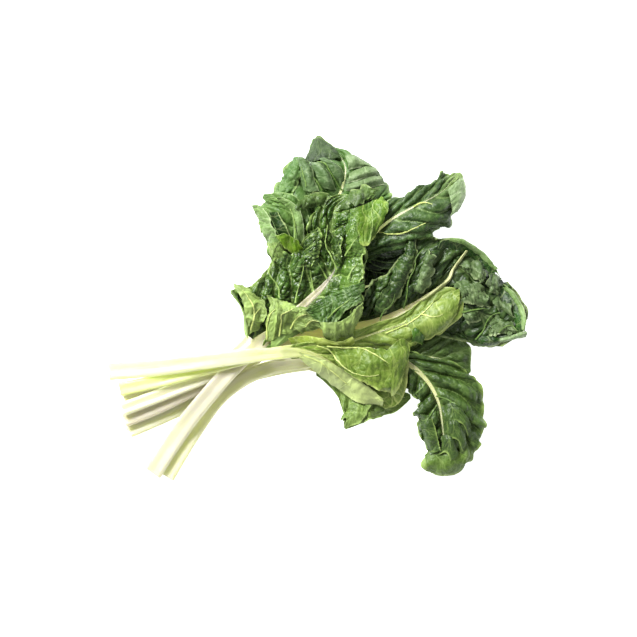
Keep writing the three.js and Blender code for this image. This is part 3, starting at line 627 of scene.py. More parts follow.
def spread(heights, slope=DRAPE_SLOPE):
    """The map with each cell the highest of all cells, less the slope times their distance."""
    out = heights.copy()
    ramp = slope * CELL * np.arange(MAP_NX)
    side, corner = slope * CELL, slope * CELL * math.sqrt(2)
    for rows, along in ((range(MAP_NY), 1), (range(MAP_NY - 1, -1, -1), -1)):
        before = None
        for y in rows:
            row = out[y]
            if before is not None:
                row = np.maximum(row, before - side)
                row[1:] = np.maximum(row[1:], before[:-1] - corner)
                row[:-1] = np.maximum(row[:-1], before[1:] - corner)
            row = row[::along]
            row = (np.maximum.accumulate(row + ramp) - ramp)[::along]
            out[y] = before = row
    return out


def widen(heights):
    """The highest value within one cell."""
    padded = np.pad(heights, 1, mode="edge")
    shifts = [padded[dy:, dx:][:MAP_NY, :MAP_NX] for dy in range(3) for dx in range(3)]
    out = heights.copy()
    out[1:-1, 1:-1] = np.max(shifts, axis=0)[1:-1, 1:-1]
    return out


def blur(heights, reach):
    """The mean within a square of cells."""
    for axis in (1, 0):
        pad = [(reach, reach) if k == axis else (0, 0) for k in range(2)]
        total = np.cumsum(np.pad(heights, pad, mode="edge"), axis=axis)
        total = np.concatenate([np.zeros_like(total.take([0], axis)), total], axis=axis)
        size = heights.shape[axis]
        window = 2 * reach + 1
        after = total.take(range(window, window + size), axis)
        heights = (after - total.take(range(size), axis)) / window
    return heights


def lift_map(surfaces, ground, reach):
    """How far a leaf must rise at each cell to lie clear of the leaves below."""
    need = np.zeros(MAP_NX * MAP_NY)
    for vertices, triangles, skin in surfaces:
        cells, z = scan(vertices, triangles)
        np.maximum.at(need, cells, ground.ravel()[cells] + skin - z)
    need = need.reshape(MAP_NY, MAP_NX)
    lift = spread(need)
    for cells in (reach, reach, reach, 1):
        lift = np.maximum(blur(lift, cells), need)
    return lift


def height_at(heights, points):
    """The map's height at each point, between the middles of its cells."""
    fx = (points[..., 0] + MAP_HALF_X) / CELL - 0.5
    fy = (points[..., 1] + MAP_HALF_Y) / CELL - 0.5
    cx, cy = np.floor(fx).astype(int), np.floor(fy).astype(int)
    wx, wy = fx - cx, fy - cy
    near = (1 - wx) * heights[cy, cx] + wx * heights[cy, cx + 1]
    far = (1 - wx) * heights[cy + 1, cx] + wx * heights[cy + 1, cx + 1]
    return (1 - wy) * near + wy * far


def settle():
    """For each leaf, how far its solids were lifted: at each blade vertex and at each stalk ring."""
    ground = np.zeros((MAP_NY, MAP_NX))
    lifts = {}
    for leaf in LEAVES:
        sheet, sheet_triangles = coarse_sheet(leaf)
        rings, ring_triangles = coarse_stalk(leaf)
        before = sheet[..., 2].copy(), rings[:, 0, 2].copy()
        for done in range(SETTLE_PASSES):
            surfaces = (sheet, sheet_triangles, SKIN), (rings, ring_triangles, 0)
            lift = lift_map(surfaces, widen(ground), 1 if done else SAG_REACH)
            sheet[..., 2] += height_at(lift, sheet)
            rings[..., 2] += height_at(lift, rings.mean(axis=1))[:, None]
        for vertices, triangles, clear in (
            (sheet, sheet_triangles, SKIN + BLADE_GAP),
            (rings, ring_triangles, STALK_GAP),
        ):
            cells, z = scan(vertices, triangles)
            np.maximum.at(ground.reshape(-1), cells, z + clear)
        lifts[leaf["name"]] = sheet[..., 2] - before[0], rings[:, 0, 2] - before[1]
    return lifts


def stalk_rise(leaf, lifts, u):
    """How far the stalk's rings were lifted at each u. Past their end it is the blade's own lift."""
    sheet_lift, ring_lift = lifts
    rows = np.arange(STALK_ROWS + 1, ROWS + 1)
    at = np.concatenate([stalk_stations(leaf), leaf["base"] + rows / ROWS * leaf["spans"]])
    value = np.concatenate([ring_lift, sheet_lift[:, rows, 0].mean(axis=0)])
    return keyed(np.stack([at, value], axis=1), u)


# ---- Fine surface detail ------------------------------------------------------------------------

# What each leaf's surface is like, in millimetres unless named otherwise:
#   veins      how many side veins each half has
#   skew       how far forward they lean on the left and the right, as a share of the midrib
#   puff       how far the blade swells between two side veins, beyond what its solid does
#   groove     depth of the side veins below the blade
#   blister    height of the blisters between the veins, and cell, their size
#   wrinkle    height of the fine crumpling
#   frill      height of the margin's small waves, and frills, how many a margin has
#   rib        width of the midrib as a share of its solid's: where it starts, further on, at its end
LOOK_KEYS = ("veins", "skew", "puff", "groove", "blister", "cell", "wrinkle", "frill", "frills", "rib")
LOOKS = {
    "leaf_middle_right": (9, (0.1, 0), 1.0, 0.8, 0.8, 9, 0.5, 1.2, 9, (0.8, 0.5, 0.4)),
    "leaf_lower": (8, (0, 0), 1.0, 0.7, 0.9, 8, 0.5, 1.5, 8, (0.8, 0.5, 0.4)),
    "leaf_top": (6, (0.35, 0.2), 4.5, 2.4, 0.5, 11, 0.4, 1.2, 10, (0.75, 0.55, 0.4)),
    "leaf_upper_left": (7, (0.3, 0.1), 2.0, 0.9, 0.8, 8, 0.5, 1.5, 9, (0.7, 0.4, 0.3)),
    "leaf_inner": (9, (0.1, 0.1), 1.5, 0.8, 1.4, 8, 0.7, 1.2, 9, (0.8, 0.5, 0.4)),
    "leaf_lower_right": (8, (0.16, 0.1), 4.5, 1.4, 1.2, 9, 0.5, 1.6, 11, (0.65, 0.6, 0.45)),
    "leaf_right": (7, (0.3, 0.06), 2.8, 1.2, 2.6, 12, 1.3, 1.6, 11, (1.25, 1.1, 0.8)),
    "leaf_upper_right": (6, (0.32, 0.4), 2.6, 1.0, 1.2, 9, 0.6, 1.6, 10, (0.7, 0.42, 0.35)),
    "leaf_left": (8, (0.34, 0.2), 2.2, 1.6, 1.9, 7.5, 0.9, 1.8, 13, (1.2, 0.95, 0.1)),
    "leaf_young_back": (6, (0.2, 0.3), 0.6, 0.5, 0.4, 10, 0.4, 0.8, 6, (0.5, 0.28, 0.2)),
    "leaf_young_front": (4, (0.3, 0.1), 1.6, 0.6, 0.6, 10, 0.5, 1.2, 7, (0.8, 0.4, 0.25)),
}
LOOKS = {name: dict(zip(LOOK_KEYS, values)) for name, values in LOOKS.items()}
GRID_STEP = 1.25  # mm between rows, and between columns, of the widest part of a fine blade
ROW_EXCESS = 1.25  # length of the longest row, which bends up and down, by how far it reaches
PATH_POINTS = 200  # at which a midrib's length is measured
FINE_THICKNESS = 0.5
ROOT_SHARE = 0.42  # a blade starts inside its stalk, this share of the width from its middle
FORK_START = 0.42  # share of the way to the margin at which a side vein forks
FORK_SPREAD = 0.33  # of the distance to the next vein, at the margin
GROOVE_HALF = 1.3  # mm from a side vein's middle to where its groove is mostly over
WOBBLE, WOBBLE_SIZE = 0.16, 22  # how far side veins wander, in veins, and over what mm
WARP, WARP_SIZE = 0.5, 13  # how far the pattern of blisters is bent, in cells, and over what mm
SMALL_CELLS, SMALL_SHARE = 2.1, 0.35  # smaller blisters: how many times as fine, and how high
CELL_SLOPE = 0.45  # how far from its border a blister has its height, in cells
CRUMPLE_SIZE, FINE_CRUMPLE = 5, 2.3  # mm
# How far apart the leaves, halves, stalks and folds read the tables.
LEAF_SEED, HALF_SEED, STALK_SEED, FOLD_SEED = 17.3, 5.1, 3.7, 7.7
TABLE_SIZE = 64  # of the seeded tables that noise is read from
CELL_INSET = 0.15  # a random cell's middle keeps this far from the sides of its square

draw = np.random.default_rng(7)
NOISE_TABLE = draw.random((TABLE_SIZE, TABLE_SIZE))
CELL_TABLE = draw.random((TABLE_SIZE, TABLE_SIZE, 2))


def noise(x, y):
    """Smooth noise from -1 to 1, with features one unit wide."""
    i, j = np.floor(x).astype(int), np.floor(y).astype(int)
    fx, fy = smooth(x - i), smooth(y - j)

    def at(a, b):
        return NOISE_TABLE[(i + a) % TABLE_SIZE, (j + b) % TABLE_SIZE]

    low = at(0, 0) * (1 - fx) + at(1, 0) * fx
    high = at(0, 1) * (1 - fx) + at(1, 1) * fx
    return 2 * (low * (1 - fy) + high * fy) - 1


def cell_edge(x, y):
    """Distance to the border between random cells one unit wide: 0 on it, about 0.5 in a cell."""
    i, j = np.floor(x).astype(int), np.floor(y).astype(int)
    free = 1 - 2 * CELL_INSET
    distances = []
    for a in (-1, 0, 1):
        for b in (-1, 0, 1):
            point = CELL_TABLE[(i + a) % TABLE_SIZE, (j + b) % TABLE_SIZE]
            middle_x = i + a + CELL_INSET + free * point[..., 0]
            middle_y = j + b + CELL_INSET + free * point[..., 1]
            distances.append(np.hypot(middle_x - x, middle_y - y))
    nearest = np.sort(distances, axis=0)
    return nearest[1] - nearest[0]


def crumpling(x, y, seed):
    """Fine crumpling with a height of about 1."""
    wide = noise(x / CRUMPLE_SIZE + seed, y / CRUMPLE_SIZE)
    return wide + 0.5 * noise(x / FINE_CRUMPLE, y / FINE_CRUMPLE + seed)


def grid_normals(grid):
    along = np.gradient(grid, axis=0)
    across = np.gradient(grid, axis=1)
    normals = np.cross(across, along)
    return normals / np.maximum(np.linalg.norm(normals, axis=2, keepdims=True), 1e-9)


def fine_stalk_size(leaf, u):
    """Width and thickness of the fine stalk: its solid's, but a slimmer midrib."""
    width, thickness = stalk_size(leaf, u)
    share = (u - leaf["base"]) / leaf["spans"]
    near, far, end = LOOKS[leaf["name"]]["rib"]
    slim = 1 + (near - 1) * smooth((share + 0.3) / 0.35) + (far - near) * smooth(share / 0.4)
    slim = slim + (end - far) * smooth((share - 0.38) / 0.2)
    return width * slim, thickness * (0.5 + 0.5 * slim)


def furthest(leaf):
    """How far a leaf's blade reaches from its midrib."""
    return max(leaf[half]["reach"][:, 1].max() for half in ("left", "right"))


def side_phase(look, skew, reach, seed):
    """The function that gives the side veins' phase, a whole number on each, at t and s."""

    def phase(t, s):
        wobble = WOBBLE * noise(s * reach / WOBBLE_SIZE + seed, SIDE_VEINS * t / 1.5)
        return look["veins"] * (t - skew * s**1.3) + wobble * smooth(s / 0.3)

    return phase


def fine_half(leaf, h, t, c, arc, lifts):
    """Half a fine blade at rows t and columns c, with all that its relief is made from. h is 0 for
    the left half and 1 for the right, and arc is how far along the midrib each row is."""
    look = LOOKS[leaf["name"]]
    sign = 1 - 2 * h
    seed = LEAF_SEED * leaf["number"] + HALF_SEED * h
    skew = look["skew"][h]
    u = leaf["base"] + t * leaf["spans"]
    offset = ROOT_SHARE * fine_stalk_size(leaf, u)[0]
    surface = half_blade(leaf, sign, t, c, offset, side_phase(look, skew, furthest(leaf), seed))
    points, s, length = surface["points"], surface["s"], surface["length"][:, None]
    row_t = np.arange(ROWS + 1) / ROWS
    columns = [keyed(np.stack([row_t, column], axis=1), t) for column in lifts[0][h].T]
    lift = np.stack(columns, axis=1) @ column_weights(c).T
    away = smooth(c / 0.15)
    points[..., 2] += lift * away + stalk_rise(leaf, lifts, u)[:, None] * (1 - away)
    lean = skew * arc[-1] / np.maximum(length, 15)
    none = 0 * s
    return {
        "points": points,
        "s": s,
        "v": surface["v"],
        "x": sign * (offset[:, None] + length * s),
        "y": arc[:, None] + none,
        "calm": surface["calm"][:, None] + none,
        "t": t[:, None] + none,
        "seed": seed + none,
        "spacing": arc[-1] / look["veins"] / np.sqrt(1 + lean**2) + none,
    }


def blade_relief(look, blade):
    """The height of a fine blade's relief, and its detail: about -1 in a groove, 1 on a blister. The upper
    side's material paints shade into the grooves by this detail.
    """
    s, v, x, y, t = (blade[key] for key in ("s", "v", "x", "y", "t"))
    calm, seed, spacing = (blade[key] for key in ("calm", "seed", "spacing"))
    at_ends = smooth((1 - t) / 0.1) * smooth((t + 0.02) / 0.08)
    from_vein = np.abs(v - np.round(v))
    fork = FORK_SPREAD * smooth((s - FORK_START) / (1 - FORK_START))
    to_line = np.minimum(from_vein, np.abs(from_vein - fork)) * spacing
    line = np.exp(-((to_line / GROOVE_HALF) ** 2))
    groove = -look["groove"] * line * (1 - 0.6 * s) * smooth(s / 0.08)
    cell = look["cell"]
    warp = WARP * noise(x / WARP_SIZE + seed, y / WARP_SIZE)
    out, along = np.abs(x) / cell, v * spacing / cell
    edge = cell_edge(out + warp + seed, along + warp)
    small = cell_edge(out * SMALL_CELLS + seed, along * SMALL_CELLS + warp)
    bulge = smooth(edge / CELL_SLOPE) + SMALL_SHARE * smooth(small / CELL_SLOPE)
    blister = look["blister"] * (bulge - 0.6)
    blister = blister * smooth(to_line / 2.5) * smooth(s / 0.1)
    wrinkle = look["wrinkle"] * crumpling(x, y, seed)
    beat = look["frills"] * t + 0.5 * noise(3 * t + seed, seed) + 0.3 * seed
    frill = look["frill"] * s**4 * np.sin(TURN * beat)
    swell = look["puff"] * (np.abs(np.sin(math.pi * v)) ** 0.55 - 0.6)
    swell = swell * smooth(s / 0.25) * (1 - 0.55 * s)
    height = groove + blister + swell + wrinkle * smooth(s / 0.1) + frill
    height = height * (at_ends * np.minimum(calm * 1.3, 1))
    detail = (groove + blister + wrinkle) / (look["groove"] + look["blister"] + look["wrinkle"])
    return height, detail


def fine_blade(leaf, lifts):
    """The blade's middle surface as a grid of rows, from the left margin to the right, with the
    side veins' phase, the share of the way to the margin, and flat places for the materials."""
    walk = np.linspace(0, leaf["spans"], PATH_POINTS)
    length = path_length(leaf, leaf["base"] + walk)
    rows = int(length[-1] / GRID_STEP)
    columns = int(ROW_EXCESS * furthest(leaf) / GRID_STEP)
    t, c = np.linspace(0, 1, rows + 1), np.linspace(0, 1, columns + 1)
    arc = np.interp(t, np.linspace(0, 1, PATH_POINTS), length)
    left, right = (fine_half(leaf, h, t, c, arc, lifts) for h in (0, 1))
    whole = {key: np.concatenate([left[key][:, ::-1], right[key]], axis=1) for key in left}
    height, detail = blade_relief(LOOKS[leaf["name"]], whole)
    grid = whole["points"]
    grid = grid + grid_normals(grid) * height[..., None]
    grid[..., 2] = np.maximum(grid[..., 2], FINE_THICKNESS)
    return whole | {"grid": grid, "detail": detail}


# ---- Meshes -------------------------------------------------------------------------------------

RIB_COUNT = 11  # ribs across the underside of a stalk
RIB_HEIGHT = 0.035  # of the stalk's thickness
SECTION_STEPS = 6  # points of a fine section between two corners of the solid's
SECTION_MIDDLE = np.array([0, 0.47])  # towards which the rings at the cut shrink
STALK_POINTS = 400  # at which a stalk's length is measured
RING_STEP = 2.0  # mm between the rings of a fine stalk
STALK_END = 0.985  # share of the midrib at which the fine stalk ends
STALK_ENDS = {"leaf_right": 0.5}  # and where a fold goes on as the midrib
CUT_RINGS = np.array([[0, 0.93], [0.3, 0.985], [0.8, 1]])  # [mm from the cut, size] of its rounding
UNEVEN = 0.035  # of a stalk's width, by which it varies
UNEVEN_LENGTH = 35  # mm along it
CREST = 45.0  # mm above the floor: what rises over it presses down on itself,
CREST_SHARE = 0.5  # and keeps this share of its height over it
SHARP_ANGLE = math.radians(70)


def pressed(vertices):
    """Vertices with the crests of the bunch pressed down, in the same order from below to above."""
    z = vertices[:, 2]
    z = np.minimum(z, CREST) + np.maximum(z - CREST, 0) * CREST_SHARE
    return np.column_stack([vertices[:, :2], z])


def make_piece(name, vertices, faces, materials, material_index, attributes):
    """A mesh object in metres, in the frame's place. Vertices are in the leaves' millimetres."""
    mesh = bpy.data.meshes.new(name)
    places = (pressed(vertices) + part_shift) * MM
    mesh.from_pydata(places.tolist(), [], [list(face) for face in faces])
    for material in materials:
        mesh.materials.append(material)
    mesh.polygons.foreach_set("material_index", np.asarray(material_index, dtype=np.int32))
    mesh.polygons.foreach_set("use_smooth", np.ones(len(faces), dtype=bool))
    for key, values in attributes.items():
        attribute = mesh.attributes.new(key, "FLOAT_VECTOR", "POINT")
        values = np.ascontiguousarray(np.stack(values, axis=-1), dtype=np.float32)
        attribute.data.foreach_set("vector", values.ravel())
    mesh.set_sharp_from_angle(angle=SHARP_ANGLE)
    mesh.update()
    piece = bpy.data.objects.new(name, mesh)
    bpy.context.scene.collection.objects.link(piece)
    return piece


def grid_faces(index):
    """Faces between the rows and columns of a grid of vertex numbers."""
    a, b, c, d = index[:-1, :-1], index[:-1, 1:], index[1:, 1:], index[1:, :-1]
    return np.stack([a, b, c, d], axis=-1).reshape(-1, 4)


def blade_faces(surface):
    """Faces of a fine blade's grid, and of the tip between the halves of its last row."""
    index = np.arange(surface["v"].size).reshape(surface["v"].shape)
    half = index.shape[1] // 2
    left, right = index[-1, :half][::-1], index[-1, half:]
    tip = np.stack([left[:-1], right[:-1], right[1:], left[1:]], axis=-1)
    return np.concatenate([grid_faces(index), tip])


def open_edges(faces):
    """Edges that only one face has, turned as that face turns them."""
    edges = np.stack([faces, np.roll(faces, -1, axis=1)], axis=-1).reshape(-1, 2)
    size = faces.max() + 1
    key, reverse = edges[:, 0] * size + edges[:, 1], edges[:, 1] * size + edges[:, 0]
    return edges[~np.isin(key, reverse)]


def vertex_normals(vertices, faces):
    p, q, r, s = (vertices[faces[:, k]] for k in range(4))
    normal = np.cross(r - p, s - q)
    total = np.zeros_like(vertices)
    for k in range(4):
        np.add.at(total, faces[:, k], normal)
    return total / np.maximum(np.linalg.norm(total, axis=1, keepdims=True), 1e-9)


def make_sheet(name, surface, faces, materials):
    """A thin closed sheet round a surface: its upper side, and its underside with the rim."""
    middle = surface["grid"].reshape(-1, 3)
    skin = vertex_normals(middle, faces) * FINE_THICKNESS / 2
    count = len(middle)
    p, q = open_edges(faces).T
    rim_faces = np.stack([p, p + count, q + count, q], axis=1)
    all_faces = np.concatenate([faces, faces[:, ::-1] + count, rim_faces])
    index = np.concatenate([np.zeros(len(faces)), np.ones(len(faces) + len(rim_faces))])
    # flat carries the relief's detail, by which the upper material paints shade in the grooves
    flat, lamina = (
        [np.tile(surface[key].ravel(), 2) for key in keys]
        for keys in (("x", "y", "detail"), ("v", "s", "spacing"))
    )
    return make_piece(
        name, np.concatenate([middle + skin, middle - skin]), all_faces, materials, index,
        {"flat": flat, "lamina": lamina},
    )


def fine_section():
    """The stalk's section as a smooth closed curve of [across, up], with ribs on the underside."""
    corners = STALK_SECTION
    points = []
    for k in range(len(corners)):
        near = [corners[(k + d) % len(corners)] for d in (-1, 0, 1, 2)]
        points += [through(*near, f) for f in np.arange(SECTION_STEPS) / SECTION_STEPS]
    points = np.array(points)
    points[:, 1] = np.maximum(points[:, 1], 0)
    low = smooth((0.75 - points[:, 1]) / 0.4)
    points[:, 1] += RIB_HEIGHT * low * (1 + np.cos(TURN * RIB_COUNT * points[:, 0]))
    return points


def fine_rings(leaf):
    """For each ring of a fine stalk, how far it is from the cut, its size and its u on the path."""
    last = leaf["base"] + STALK_ENDS.get(leaf["name"], STALK_END) * leaf["spans"]
    walk = np.linspace(0, last, STALK_POINTS)
    length = path_length(leaf, walk)
    regular = np.linspace(0, length[-1], int(length[-1] / RING_STEP))[1:]
    along = np.concatenate([CUT_RINGS[:, 0], regular])
    sizes = np.concatenate([CUT_RINGS[:, 1], np.ones(len(regular))])
    return along, sizes, np.interp(along, length, walk)


def make_stalk(leaf, lifts, material):
    """A fine stalk with its midrib. Its material reads the share of the midrib, below 0 on the bare
    stalk, and how far across each point is."""
    along, sizes, u = fine_rings(leaf)
    at, _, side, up = path_frame(leaf, u)
    width, thickness = fine_stalk_size(leaf, u)
    at[:, 2] += stalk_rise(leaf, lifts, u) + (stalk_size(leaf, u)[1] - thickness) * BLADE_SEAT
    section = fine_section()
    shaped = SECTION_MIDDLE + (section - SECTION_MIDDLE) * sizes[:, None, None]
    seed = STALK_SEED * leaf["number"]
    swing = noise(along[:, None] / UNEVEN_LENGTH + seed, shaped[..., 0] * 2 + seed)
    across = -shaped[..., 0] * width[:, None] * (1 + UNEVEN * swing)
    rings = ring_points(at, side, up, across, shaped[..., 1] * thickness[:, None])
    corners = len(section)
    a, b = ring_corners(len(u), corners)
    faces = np.stack([a, a + corners, b + corners, b], axis=-1).reshape(-1, 4)
    cut = np.arange(corners)
    tip = (len(u) - 1) * corners + cut[::-1]
    all_faces = [*faces.tolist(), cut.tolist(), tip.tolist()]
    none = 0 * across
    share = np.clip((u - leaf["base"]) / leaf["spans"], -1, 1)[:, None] + none
    flat = across, along[:, None] + none, shaped[..., 1]
    lamina = share, shaped[..., 0], none
    return make_piece(
        f"{leaf['name']}_stalk_fine", rings.reshape(-1, 3), all_faces, [material],
        np.zeros(len(all_faces)), {"flat": flat, "lamina": lamina},
    )


# ---- Folds --------------------------------------------------------------------------------------

FOLD_STEP = 1.2  # mm between rows, and between columns, of a fold's grid
FOLD_SLOPE = 0.9  # how steeply a fold may hang beyond the edge of what it lies on
FOLD_CLEAR = 0.5  # mm between a fold and what lies below
WAVE_HEIGHT = 1.2  # mm, of the waves that a fold's wander multiplies
# What a fold's surface is like: the heights of its puffs, blisters and wrinkles, the size of its
# blisters, all in millimetres, and how much its borders wander.
FOLD_LOOKS = {
    "pleated": (2.2, 0.9, 0.9, 5, 1.3),
    "soft": (1.2, 0.6, 0.5, 7, 1.0),
    "blistered": (1.0, 1.6, 0.6, 6, 1.3),
    "smooth": (0.5, 0.3, 0.3, 9, 0.5),
    "crumpled": (1.6, 1.3, 1.0, 7, 2.2),
    "dusty": (1.0, 1.3, 1.3, 4.5, 2.4),
    "rib": (0, 0, 0.2, 5, 0.2),
    "vein": (0, 0, 0.2, 5, 0.45),
}
ORIGIN_PIXEL = (315, 307)  # where the leaves' own origin is in the photograph


def new_fold(leaf, name, veins, rows, look="smooth", tones=None, side="upper"):
    """A lobe, curl or puff that stands up from a leaf's blade. Its rows have points of x and y in
    the photograph's pixels, which are millimetres, and a height in millimetres above what lies
    below. veins is how many veins cross it, tones what it is coloured with instead of the leaf's
    own, and side the side of the leaf that its upper face shows."""
    return {
        "leaf": leaf,
        "name": name,
        "veins": veins,
        "look": look,
        "rows": np.array(number_rows(rows)),
        "tones": tones or leaf,
        "side": side,
    }


